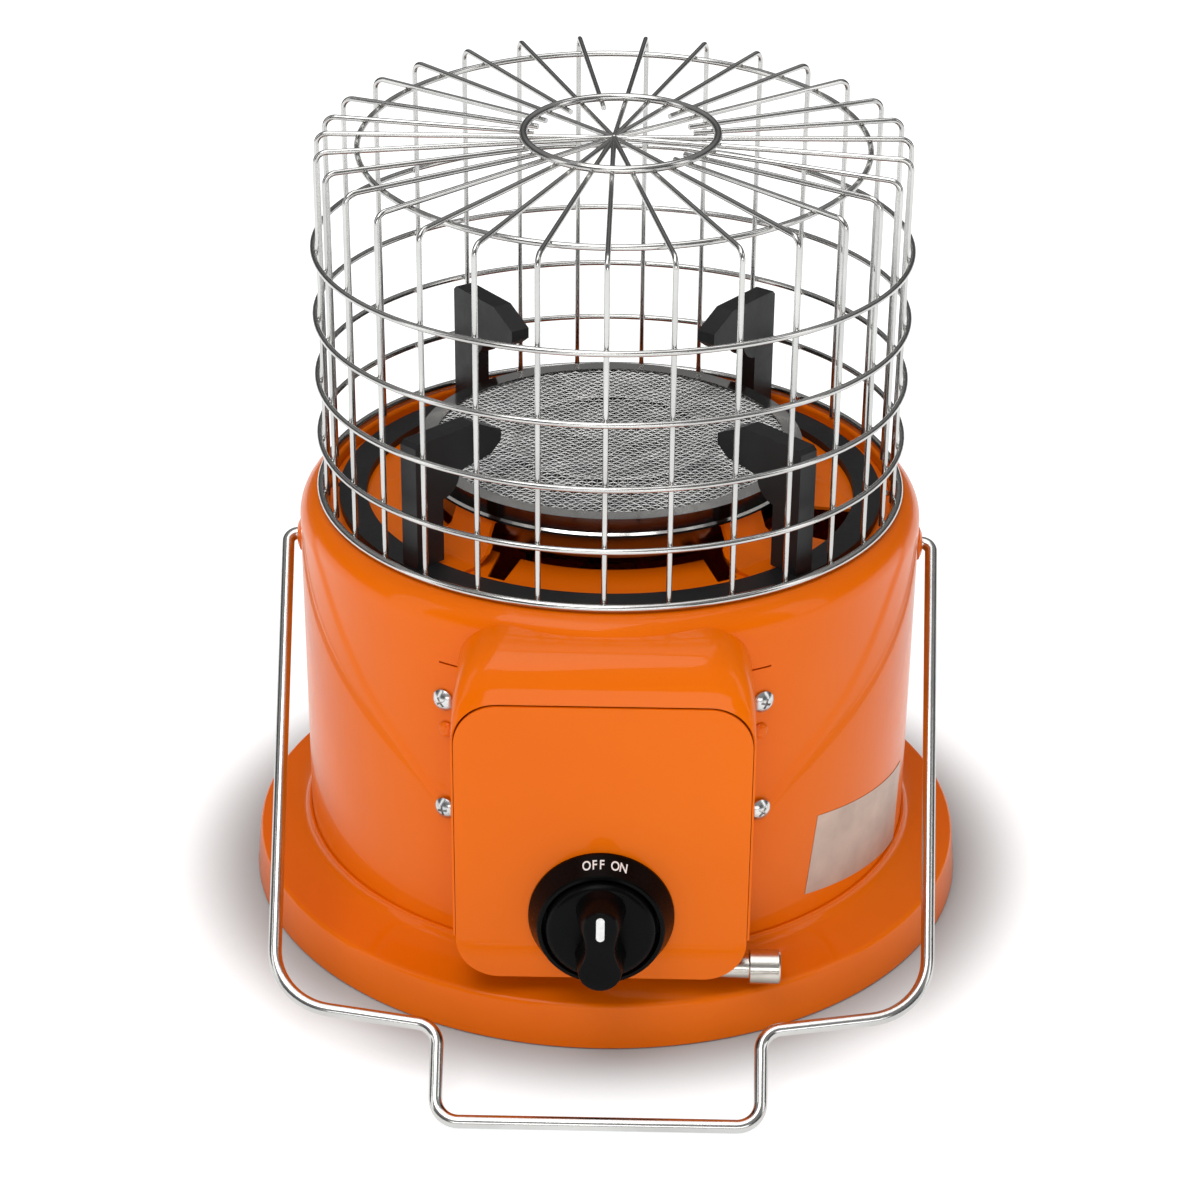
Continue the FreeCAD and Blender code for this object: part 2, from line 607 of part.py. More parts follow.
copies(bracket, "burner_brackets", [FreeCAD.Placement(V(0, 0, 0), FreeCAD.Rotation(V(0, 0, 1), az)) for az in (-133.0, -47.0, 47.0, 133.0)])

# mixing tube: from behind the valve to the bowl's neck
mt = new_body("mixing_tube_body")
sp = new_sketch(mt, "mixing_tube_path", "YZ_Plane")
path(sp, [(D("tube_mouth"), D("axis_hgt")), (0, D("axis_hgt")), (0, D("tube_top"))], [D("tube_bend")])
pr = new_sketch(mt, "mixing_tube_section", "XZ_Plane", -D("tube_mouth"))
circle(pr, 0, D("axis_hgt"), D("tube_rad"))
circle(pr, 0, D("axis_hgt"), D("tube_rad") - D("tube_thk"))
pipe(mt, sp, pr)
part(mt, "mixing_tube")

# ---------------------------------------------------------------- control housing
fy = D("front_pos")
ph, cr = D("plate_half"), D("corner_rad")


def arch(body, name, y, half, ztop, rad, zlow):
    sk_ = new_sketch(body, name, "XZ_Plane", -Q.of(y))
    loop(sk_, [
        (half, zlow), (half, ztop - rad, rad, False), (half - rad, ztop), (rad - half, ztop, rad, False), (-half, ztop - rad), (-half, zlow),
    ])
    return sk_


def loft_form(name, off, low):
    b = new_body(name)
    off = Q.of(off)
    secs = []
    for n, (y, half, zt, rr) in enumerate(((fy + thk, ph - 1.0, D("plate_top"), cr), (fy + 3.6, ph - 1.1, 147.0, cr + 0.6), (fy + 9.0, ph - 1.3, 153.6, cr + 1.6),
                                           (fy + 17.0, ph - 1.7, 158.2, cr + 2.8), (fy + 32.0, ph - 2.2, 162.2, cr + 4.0))):
        yy = y - 0.4 if (n == 0 and off.v > 0) else y
        secs.append(arch(b, "%s_sec%d" % (name, n), yy, Q.of(half) - off, Q.of(zt) - off, Q.of(rr) - off, low))
    f = b.newObject("PartDesign::AdditiveLoft", name + "_loft")
    f.Profile = (secs[0], [""])
    f.Sections = [(k, [""]) for k in secs[1:]]
    f.Ruled = False
    b.Tip = f
    return b


h_out = loft_form("housing_outer", 0, Q.of(34.0))
h_in = loft_form("housing_inner", thk, Q.of(30.0))
h_shell = cut("housing_shell", h_out, h_in)
er = dr - thk * 2 - 0.1
ear_l = turned("ear_left", [(er, D("ear_low")), (er + thk, D("ear_low")), (er + thk, D("ear_top")), (er, D("ear_top"))],
               VAL["ear_to"] - VAL["ear_from"])
ear_r = turned("ear_right", [(er, D("ear_low")), (er + thk, D("ear_low")), (er + thk, D("ear_top")), (er, D("ear_top"))],
               VAL["ear_to"] - VAL["ear_from"])
doc.recompute()


def turn_to(body, az_from):
    """Turn a part-revolved strip so that it starts at azimuth az_from, whichever way it was swept."""
    c = body.Shape.CenterOfMass
    mid = math.degrees(math.atan2(c.y, c.x))
    half = (VAL["ear_to"] - VAL["ear_from"]) / 2
    body.Placement = FreeCAD.Placement(V(0, 0, 0), FreeCAD.Rotation(V(0, 0, 1), az_from + half - mid))


turn_to(ear_l, -VAL["ear_to"])
turn_to(ear_r, -180 + VAL["ear_from"])
env = turned("drum_envelope", [
    (0, 0), (dr + 0.08, 0), (dr + 0.08, D("ear_low")), (er, D("ear_low")), (er, D("ear_top")), (dr + 0.08, D("ear_top")),
    (dr + 0.08, top - sr, sr + 0.08, False), (dr - sr, top + 0.08), (dr - sr, 200), (0, 200),
])
h_walls = cut("housing_walls", h_shell, env)
h_trim = fuse("housing_trim", [h_walls, ear_l, ear_r])
house_holes = []
for n, (az, z) in enumerate(screw_spots):
    c = cylinder("ear_hole_%d" % n, D("screw_hole"), 20, (0, 0, 0), FreeCAD.Rotation())
    for k in "xyz":
        c.setExpression("Placement.Base." + k, None)
    c.Placement = radial(az, VAL["drum_rad"] - 10, z)
    house_holes.append(c)
for n, (az, z) in enumerate(rivet_spots):
    c = cylinder("ear_rivet_hole_%d" % n, 1.3, 20, (0, 0, 0), FreeCAD.Rotation())
    for k in "xyz":
        c.setExpression("Placement.Base." + k, None)
    c.Placement = radial(az, VAL["drum_rad"] - 10, z)
    house_holes.append(c)
part(cut("housing_cut", h_trim, fuse("housing_tools", house_holes)), "control_housing")

# front plate
cp = new_body("control_plate_form")
s = new_sketch(cp, "control_plate_outline", "XZ_Plane", -(fy + thk))
pl_, pt = D("plate_low"), D("plate_top")
loop(s, [
    (ph, pl_ + cr), (ph, pt - cr, cr, False), (ph - cr, pt), (cr - ph, pt, cr, False),
    (-ph, pt - cr), (-ph, pl_ + cr, cr, False), (cr - ph, pl_), (ph - cr, pl_, cr, False),
])
circle(s, 0, D("axis_hgt"), 5.0)
for sx in (-1, 1):
    circle(s, 10.7 * sx, D("axis_hgt"), D("screw_hole"))
pad(cp, s, thk)
part(cp, "control_plate")

# ---------------------------------------------------------------- knob and bezel (turned about local Z, then laid to the front)


def to_front(body, label=None):
    body.Placement = FreeCAD.Placement(V(0, VAL["front_pos"], VAL["axis_hgt"]), TO_FRONT)
    body.setExpression("Placement.Base.y", "dims.front_pos")
    body.setExpression("Placement.Base.z", "dims.axis_hgt")
    return body


bz = turned("knob_bezel_body", [
    (6.5, 0), (D("bezel_rad"), 0), (D("bezel_rad"), 1.2), (D("bezel_front") + 0.5, D("bezel_dep") - 0.4), (D("bezel_front"), D("bezel_dep")),
    (D("bezel_bore"), D("bezel_dep")), (D("bezel_bore"), 1.0), (6.5, 1.0),
])
s = new_sketch(bz, "bezel_screw_holes", "XY_Plane")
for sx in (-1, 1):
    circle(s, 10.7 * sx, 0, D("screw_hole"))
pocket_through(bz, s, "screws")
part(to_front(bz), "knob_bezel")

kb = turned("control_knob_body", [
    (D("spindle_rad"), D("knob_back")), (5.6, D("knob_back")), (5.6, 9.6), (17.6, 9.6), (17.6, D("knob_back")), (D("knob_rad"), D("knob_back")),
    (D("knob_rad"), D("knob_face") - 3.0, 3.0, False), (D("knob_rad") - 3.0, D("knob_face")), (0, D("knob_face")),
    (0, D("knob_face") - 0.5), (D("spindle_rad"), D("knob_face") - 0.5),
])
# after laying to the front, sketch +Y points up
grip = []
for nm, lift, ru, zu, rl, zl, gw in (("grip_foot", D("knob_face") - 0.3, 8.8, 9.5, 8.9, 7.9, 6.4),
                                     ("grip_shoulder", D("knob_face") + 7.0, 6.9, 10.9, 8.3, 8.0, 5.5),
                                     ("grip_crown", D("grip_face"), 5.4, 12.0, D("grip_end"), 8.0, D("grip_waist"))):
    s = new_sketch(kb, nm, "XY_Plane", lift)
    ru, rl = Q.of(ru), Q.of(rl)
    loop(s, [(rl, -zl), (gw, -2.0), (ru, zu, ru * 1.03, False), (-ru, zu), (-gw, -2.0), (-rl, -zl, rl * 1.03, False)])
    grip.append(s)
gf = kb.newObject("PartDesign::AdditiveLoft", "grip_loft")
gf.Profile = (grip[0], [""])
gf.Sections = [(k, [""]) for k in grip[1:]]
gf.Ruled = True
kb.Tip = gf
s = new_sketch(kb, "knob_bore", "XY_Plane")
circle(s, 0, 0, D("spindle_rad"))
pocket_blind(kb, s, 21.4, True, "bore")
part(to_front(kb), "control_knob")

kp = new_body("knob_pointer_body")
s = new_sketch(kp, "pointer_outline", "XY_Plane", D("grip_face"))
loop(s, [(1.5, 7.1), (1.5, 13.9, 1.56, False), (-1.5, 13.9), (-1.5, 7.1, 1.56, False)])
pad(kp, s, 0.25)
part(to_front(kp), "knob_pointer")

# ---------------------------------------------------------------- valve
vf, vr, vh = D("valve_front"), D("valve_rear"), D("valve_half")
ah = D("axis_hgt")
vb = new_body("valve_body_form")
s = new_sketch(vb, "valve_block", "XZ_Plane", -vf)
loop(s, [(vh, ah - vh), (vh, ah + vh), (-vh, ah + vh), (-vh, ah - vh)])
pad(vb, s, vr - vf, back=True)
s = new_sketch(vb, "valve_bore", "XZ_Plane", -vf)
circle(s, 0, ah, D("valve_bore"))
pocket_blind(vb, s, D("plug_rear") - vf + 0.3, False, "bore")
v_tools = fuse("valve_tools", [
    cylinder("valve_inlet_port", D("pipe_rad") + 0.05, 8.5, (D("riser_pos"), D("pipe_pos"), ah - vh - 1), FreeCAD.Rotation()),
    cylinder("valve_pilot_l", 1.45, 12, (-10.7, vf - 1, ah), TO_REAR),
    cylinder("valve_pilot_r", 1.45, 12, (10.7, vf - 1, ah), TO_REAR),
    cylinder("valve_outlet", 2.2, 12, (0, vr - 11, ah), TO_REAR),
])
part(cut("valve_body_cut", vb, v_tools), "valve_body")

vc = new_body("valve_bonnet_body")
s = new_sketch(vc, "bonnet_outline", "XZ_Plane", -vf)
loop(s, [(14, ah - 12.4), (14, ah + 12.4), (-14, ah + 12.4), (-14, ah - 12.4)])
circle(s, 0, ah, D("spindle_rad") + D("run_gap"))
for sx in (-1, 1):
    circle(s, 10.7 * sx, ah, D("screw_hole"))
pad(vc, s, vf - (fy + thk))
part(vc, "valve_bonnet")

vp = new_body("valve_plug_body")
s = new_sketch(vp, "plug_outline", "XY_Plane")
circle(s, 0, 0, D("valve_bore") - 0.04)
pad(vp, s, D("plug_rear") - D("plug_front"), back=True)
s = new_sketch(vp, "plug_socket", "XY_Plane")
loop(s, [(2.15, -2.15), (2.15, 2.15), (-2.15, 2.15), (-2.15, -2.15)])
pocket_blind(vp, s, 9.0, False, "socket")
vp.Placement = FreeCAD.Placement(V(0, VAL["plug_front"], VAL["axis_hgt"]), TO_FRONT)
vp.setExpression("Placement.Base.y", "dims.plug_front")
vp.setExpression("Placement.Base.z", "dims.axis_hgt")
part(vp, "valve_plug")

vs = new_body("valve_spindle_body")
s = new_sketch(vs, "spindle_round", "XY_Plane", -10.2)
circle(s, 0, 0, D("spindle_rad"))
pad(vs, s, 31.5)
s = new_sketch(vs, "spindle_tongue", "XY_Plane", -20.6)
loop(s, [(2.05, -2.05), (2.05, 2.05), (-2.05, 2.05), (-2.05, -2.05)])
pad(vs, s, 10.6, name="tongue")
part(to_front(vs), "valve_spindle")

clip = turned("spindle_clip_body", [(D("spindle_rad"), 3.6), (5.6, 3.6), (5.6, 4.4), (D("spindle_rad"), 4.4)])
to_front(clip)
clip.setExpression("Placement.Base.y", "(dims.front_pos + 8)")
clip.Placement.Base.y = VAL["front_pos"] + 8
part(clip, "spindle_clip")

# return spring round the spindle, between the clip and the plug
hx = Part.makeHelix(2.05, 9.6, 4.6)
start = Part.Wire([Part.Circle(V(4.6, 0, 0), V(0, 1, 0), 0.4).toShape()])
coil = Part.Wire(hx.Edges).makePipeShell([start], True, True)
spring = doc.addObject("Part::Feature", "spindle_spring_coil")
spring.Shape = coil
spring.Placement = FreeCAD.Placement(V(0, VAL["plug_front"] - 0.5, VAL["axis_hgt"]), TO_FRONT)
part(spring, "spindle_spring")

scr = turned("valve_screw_form", [(0, -9.0), (1.4, -9.0), (1.4, 1.0), (2.8, 1.0), (2.8, 2.0), (2.0, 2.8), (0, 2.8)])
copies(scr, "valve_screws", [FreeCAD.Placement(V(10.7 * sx, VAL["front_pos"], VAL["axis_hgt"]), TO_FRONT) for sx in (-1, 1)])

pz = new_body("piezo_igniter_body")
s = new_sketch(pz, "piezo_outline", "XY_Plane", 46.0)
loop(s, [(-13.2, -118.0), (-13.2, -102.0), (-24.0, -102.0), (-27.0, -105.0), (-27.0, -115.0), (-24.0, -118.0)])
pad(pz, s, 16.0)
part(pz, "piezo_igniter")

nz = turned("injector_form", [(0.4, 0), (5.8, 0), (5.8, 6.0), (3.4, 6.8), (2.6, 12.0), (0.4, 12.0)])
nz.Placement = FreeCAD.Placement(V(0, VAL["valve_rear"], VAL["axis_hgt"]), TO_REAR)
part(nz, "injector_nozzle")

# ---------------------------------------------------------------- gas inlet
ip = new_body("inlet_pipe_body")
sp = new_sketch(ip, "inlet_path", "XZ_Plane", -D("pipe_pos"))
path(sp, [(D("pipe_end"), D("pipe_hgt")), (D("riser_pos"), D("pipe_hgt")), (D("riser_pos"), ah - vh + 3.0)], [7.0])
pr = new_sketch(ip, "inlet_section", "YZ_Plane", D("pipe_end"))
circle(pr, D("pipe_pos"), D("pipe_hgt"), D("pipe_rad"))
circle(pr, D("pipe_pos"), D("pipe_hgt"), D("pipe_bore"))
pipe(ip, sp, pr)
part(ip, "inlet_pipe")

cpn = turned("inlet_coupling_body", [
    (D("pipe_bore"), 0), (D("coupling_rad") - 0.5, 0), (D("coupling_rad"), 0.5), (D("coupling_rad"), D("coupling_len") - 0.6),
    (D("coupling_rad") - 0.6, D("coupling_len")), (D("inlet_bore"), D("coupling_len")), (D("inlet_bore"), D("coupling_len") - D("inlet_dep")),
    (D("pipe_bore"), D("coupling_len") - D("inlet_dep")),
])
cpn.Placement = FreeCAD.Placement(V(VAL["pipe_end"], VAL["pipe_pos"], VAL["pipe_hgt"]), ALONG_X)
for k, e in (("x", "dims.pipe_end"), ("y", "dims.pipe_pos"), ("z", "dims.pipe_hgt")):
    cpn.setExpression("Placement.Base." + k, e)
part(cpn, "inlet_coupling")

nut = new_body("inlet_nut_body")
s = new_sketch(nut, "nut_hex", "XY_Plane", ah - vh - 5.2)
hexr = 6.0 / math.cos(math.radians(30))
rp, pp = D("riser_pos"), D("pipe_pos")
loop(s, [(rp + hexr * math.cos(math.radians(60 * k)), pp + hexr * math.sin(math.radians(60 * k))) for k in range(6)])
circle(s, rp, pp, D("pipe_rad") + 0.02)
pad(nut, s, 5.15)
part(nut, "inlet_nut")

# ---------------------------------------------------------------- igniter electrode
EA = math.radians(116.8)
ex, ey = 76.4 * math.cos(EA), 76.4 * math.sin(EA)
ins = turned("insulator_form", [(0.82, 138), (2.6, 138), (2.6, 156.0), (3.1, 156.4), (3.1, 157.4), (2.4, 157.4), (2.4, 158.6), (1.8, 159.6), (0.82, 159.6)])
place(ins, (ex, ey, 0))
part(ins, "electrode_insulator")
el = turned("electrode_form", [(0, 134), (0.8, 134), (0.8, 172.0), (0, 172.7)])
place(el, (ex, ey, 0))
part(el, "ignition_electrode")
eb = new_body("electrode_bracket_form")
s = new_sketch(eb, "electrode_bracket_outline", "XY_Plane", D("ledge_top") - 1.2)
loop(s, [(71.0, -10), (84.0, -10), (84.0, 10), (71.0, 10)])
circle(s, 76.4, 0, 2.7)
pad(eb, s, 1.2)
eb.Placement = FreeCAD.Placement(V(0, 0, 0), FreeCAD.Rotation(V(0, 0, 1), 116.8))
part(eb, "electrode_bracket")

lead = new_body("ignition_lead_body")
px_, py_ = -20.0, -110.0
span = math.hypot(px_ - ex, py_ - ey)
sp = new_sketch(lead, "lead_path", "XZ_Plane")
path(sp, [(0, 133.8), (0, 104.0), (span, 82.0), (span, 62.2)], [8.0, 8.0])
pr = new_sketch(lead, "lead_section", "XY_Plane", 133.8)
circle(pr, 0, 0, 1.3)
pipe(lead, sp, pr)
lead.Placement = FreeCAD.Placement(V(ex, ey, 0), FreeCAD.Rotation(V(0, 0, 1), math.degrees(math.atan2(py_ - ey, px_ - ex))))
part(lead, "ignition_lead")

# ---------------------------------------------------------------- wire guard
wr = D("wire_rad")


# the top of the guard leans: lower in front, higher at the rear
TILT = VAL["top_tilt"]
lean = Q(math.tan(math.radians(TILT)), "tan(dims.top_tilt * 1 deg)")
LEAN = FreeCAD.Rotation(V(1, 0, 0), TILT)
steps_r = [12.1, 24.5, 36.3, 48.2, 59.8, 69.8, 80.9, 91.6, 101.9, 113.1, 125.6, 137.2, 149.2, 161.4, 174.3]
steps_l = [12.4, 24.4, 36.3, 47.4, 58.3, 69.1, 79.9, 89.8, 98.7, 109.4, 121.8, 133.6, 146.2, 158.7, 171.5]
wire_az = [(0, -90.3)] + [(n + 1, -90.3 + s_) for n, s_ in enumerate(steps_r)] + [(-n - 1, -90.3 - s_) for n, s_ in enumerate(steps_l)]
# eight wires run right across the top through the hub, the other fifteen stop inside the small ring
LONG_SET = (0, 15, 1, -14, 3, -12, 7, -8, 8, -7, 11, -4, 13, -2, 14, -1)
long_az = [az for n, az in wire_az if n in LONG_SET]
short_az = [az for n, az in wire_az if n not in LONG_SET]


def guard_wire(name, az, inner):
    b = new_body(name)
    sp_ = new_sketch(b, name + "_path", "XZ_Plane")
    outer_z = D("guard_top") + D("wire_pos") * sind(az) * lean
    inner_z = D("guard_top") + inner * sind(az) * lean
    path(sp_, [(D("wire_pos"), D("wire_low")), (D("wire_pos"), outer_z), (inner, inner_z)], [D("guard_bend")])
    pr_ = new_sketch(b, name + "_section", "XY_Plane", D("wire_low"))
    circle(pr_, D("wire_pos"), 0, wr)
    pipe(b, sp_, pr_)
    b.Placement = FreeCAD.Placement(V(0, 0, 0), FreeCAD.Rotation(V(0, 0, 1), az))
    return b


for nm, azs, inner in (("guard_long_wires", long_az, D("hub_rad")), ("guard_short_wires", short_az, D("short_end"))):
    wires = doc.addObject("Part::Compound", nm + "_group")
    wires.Links = [guard_wire("%s_%02d" % (nm, n), az, inner) for n, az in enumerate(azs)]
    part(wires, nm)

hub = doc.addObject("Part::Feature", "guard_hub_star")
spokes = [Part.makeSphere(VAL["wire_rad"] + 0.3, V(0, 0, VAL["guard_top"]))]
for az in long_az:
    c_, s_ = math.cos(math.radians(az)), math.sin(math.radians(az))
    spokes.append(Part.makeCylinder(VAL["wire_rad"], VAL["hub_rad"] * math.hypot(1.0, s_ * lean.v), V(0, 0, VAL["guard_top"]), V(c_, s_, s_ * lean.v)))
hub.Shape = spokes[0].multiFuse(spokes[1:])
part(hub, "guard_hub")

rings = new_body("guard_side_rings_body")
s = new_sketch(rings, "side_ring_sections", "XZ_Plane")
for nm in ("ring_a", "ring_b", "ring_c", "ring_d"):
    circle(s, D("ring_pos"), D(nm), D("ring_wire"))
revolve(rings, s)
part(rings, "guard_side_rings")


def ring(name, r, z, w, lift=None, off=None):
    b = new_body(name + "_body")
    s_ = new_sketch(b, name + "_section", "XZ_Plane")
    circle(s_, r, z, w)
    revolve(b, s_)
    if lift is not None:
        b.Placement = FreeCAD.Placement(V(Q.of(off).v, 0, lift.v), LEAN)
        b.setExpression("Placement.Base.x", Q.of(off).e)
        b.setExpression("Placement.Base.z", lift.e)
    return part(b, name)


ring("guard_base_ring", D("base_ring_pos"), D("base_ring_hgt"), D("base_ring_wire"))
ring("guard_top_ring", D("top_ring_pos"), 0.05 - wr - D("top_ring_wire"), D("top_ring_wire"), D("guard_top"), 0)
ring("guard_inner_ring", D("inner_ring_pos"), wr + D("inner_ring_wire") - 0.4, D("inner_ring_wire"), D("guard_top"), D("inner_ring_off"))

# ---------------------------------------------------------------- bail handle
bl = new_body("bail_body")
sp = new_sketch(bl, "bail_path", "XZ_Plane")
bs, bn = D("bail_side"), D("bail_neck")
half = [(D("bail_end"), 0), (bs, 0), (D("bail_knee"), -D("bail_knee_dep")), (D("bail_shoulder"), -D("bail_shoulder_dep")), (bn, -D("bail_grip_dep"))]
# the knee's upper stretch runs from the pivot corner to the knee, then to the shoulder
right = [(D("bail_end"), 0), (bs, 0), (D("bail_knee") - 0.4, -(D("bail_knee_dep") + 6.4)), (bn + 0.6, -(D("bail_shoulder_dep") + 0.4)), (bn, -D("bail_grip_dep"))]
left = [(-q[0], q[1]) for q in reversed(right)]
path(sp, right + left, [D("bail_bend"), 24.0, 8.0, 8.5, 8.5, 8.0, 24.0, D("bail_bend")])
pr = new_sketch(bl, "bail_section", "YZ_Plane", D("bail_end"))
circle(pr, 0, 0, D("bail_wire"))
pipe(bl, sp, pr)
bl.Placement = FreeCAD.Placement(V(0, 0, VAL["pivot_hgt"]), FreeCAD.Rotation(V(1, 0, 0), -VAL["bail_lean"]))
bl.setExpression("Placement.Base.z", "dims.pivot_hgt")
part(bl, "bail_handle")

ey_form = turned("eyelet_form", [
    (D("bail_wire") + D("run_gap"), -2.4), (5.4, -2.4), (5.4, -1.4), (3.9, -1.4), (3.9, 0.15), (6.6, 0.15), (6.6, 0.9),
    (4.4, 1.9), (D("bail_wire") + D("run_gap"), 1.9),
])
copies(ey_form, "bail_eyelets", [FreeCAD.Placement(V(VAL["drum_rad"], 0, VAL["pivot_hgt"]), ALONG_X),
                                 FreeCAD.Placement(V(-VAL["drum_rad"], 0, VAL["pivot_hgt"]), FreeCAD.Rotation(V(0, 1, 0), -90))])
rt_form = turned("retainer_form", [(D("bail_wire"), -3.8), (6.0, -3.8), (6.0, -3.1), (D("bail_wire"), -3.1)])
copies(rt_form, "bail_retainers", [FreeCAD.Placement(V(VAL["drum_rad"], 0, VAL["pivot_hgt"]), ALONG_X),
                                   FreeCAD.Placement(V(-VAL["drum_rad"], 0, VAL["pivot_hgt"]), FreeCAD.Rotation(V(0, 1, 0), -90))])

# ---------------------------------------------------------------- fixings
hs = turned("housing_screw_form", [
    (0, -7.0), (D("screw_shank"), -7.0), (D("screw_shank"), 0), (D("screw_head"), 0), (D("screw_head"), 0.7, 5.6, False), (0, D("screw_hgt")),
])
s = new_sketch(hs, "cross_one", "XY_Plane", D("screw_hgt"))
loop(s, [(-2.0, -0.45), (2.0, -0.45), (2.0, 0.45), (-2.0, 0.45)])
pocket_blind(hs, s, 1.6, False, "cross_one")
s = new_sketch(hs, "cross_two", "XY_Plane", D("screw_hgt"))
loop(s, [(-0.45, -2.0), (0.45, -2.0), (0.45, 2.0), (-0.45, 2.0)])
pocket_blind(hs, s, 1.6, False, "cross_two")
spin = [12.0, 35.0, 50.0, -20.0]
copies(hs, "housing_screws", [radial(az, VAL["drum_rad"] + 0.04, z).multiply(FreeCAD.Placement(V(0, 0, 0), FreeCAD.Rotation(V(0, 0, 1), spin[n])))
                              for n, (az, z) in enumerate(screw_spots)])
rv = turned("housing_rivet_form", [(0, -3.5), (1.2, -3.5), (1.2, 0), (D("rivet_rad"), 0), (D("rivet_rad"), 0.3), (D("rivet_rad") - 0.45, 1.0), (D("rivet_rad") - 1.3, 1.55), (0, 1.8)])
copies(rv, "housing_rivets", [radial(az, VAL["drum_rad"] + 0.04, z) for az, z in rivet_spots])

# ---------------------------------------------------------------- blank foil patch on the drum
foil_out = cylinder("foil_outer", dr + 0.22, 200, (0, 0, 0), FreeCAD.Rotation())
foil_in = cylinder("foil_inner", dr + 0.02, 200, (0, 0, 0), FreeCAD.Rotation())
foil_ring = cut("foil_ring", foil_out, foil_in)
foil_box = doc.addObject("Part::Box", "foil_box")
foil_box.Length, foil_box.Width, foil_box.Height = 33.0, 68.0, 24.0
foil_box.Placement = radial(-32.8, VAL["drum_rad"] - 12, 48.3).multiply(
    FreeCAD.Placement(V(0, 0, 0), FreeCAD.Rotation(V(0, 0, 1), -8.0))).multiply(FreeCAD.Placement(V(-16.5, -34, 0), FreeCAD.Rotation()))
foil = doc.addObject("Part::MultiCommon", "foil_common")
foil.Shapes = [foil_ring, foil_box]
part(foil, "foil_patch")

doc.recompute()

# ---------------------------------------------------------------- checks and export
bad = []
for o in doc.Objects:
    if any(k in ("Invalid", "Error") for k in o.State):
        bad.append("%s: %s" % (o.Name, o.State))
for o in PARTS:
    if o.Shape.isNull() or not o.Shape.isValid() or not o.Shape.Solids:
        bad.append("shape of " + o.Label)
if bad:
    raise RuntimeError("; ".join(bad))

os.makedirs("parts", exist_ok=True)
for o in PARTS:
    o.Shape.exportStep("parts/%s.step" % o.Label)
    bb_ = o.Shape.BoundBox
    print("%-22s solids %2d  vol %9.1f  x %.1f %.1f  y %.1f %.1f  z %.1f %.1f" % (
        o.Label, len(o.Shape.Solids), o.Shape.Volume, bb_.XMin, bb_.XMax, bb_.YMin, bb_.YMax, bb_.ZMin, bb_.ZMax))
print(len(PARTS), "parts")
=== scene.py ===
import json
import math
import random

import bmesh
import bpy
import numpy as np
from mathutils import Matrix, Vector


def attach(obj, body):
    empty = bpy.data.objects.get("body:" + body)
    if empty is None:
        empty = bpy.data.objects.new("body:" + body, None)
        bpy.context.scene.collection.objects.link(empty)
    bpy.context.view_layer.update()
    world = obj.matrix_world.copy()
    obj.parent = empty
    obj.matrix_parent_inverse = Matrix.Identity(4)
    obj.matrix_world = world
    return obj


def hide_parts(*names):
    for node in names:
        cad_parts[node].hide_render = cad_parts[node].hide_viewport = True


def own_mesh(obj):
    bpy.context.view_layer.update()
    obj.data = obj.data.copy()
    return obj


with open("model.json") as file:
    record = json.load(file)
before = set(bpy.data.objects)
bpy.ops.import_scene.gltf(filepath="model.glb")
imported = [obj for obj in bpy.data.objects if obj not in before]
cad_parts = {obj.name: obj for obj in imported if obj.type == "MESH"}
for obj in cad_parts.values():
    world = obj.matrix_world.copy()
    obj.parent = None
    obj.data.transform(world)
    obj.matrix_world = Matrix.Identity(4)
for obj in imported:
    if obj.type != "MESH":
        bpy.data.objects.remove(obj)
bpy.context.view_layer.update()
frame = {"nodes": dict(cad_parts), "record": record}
NODES = frame["nodes"]
scene = bpy.context.scene
random.seed(7)

MM = 0.001
DRUM_R = 118.8


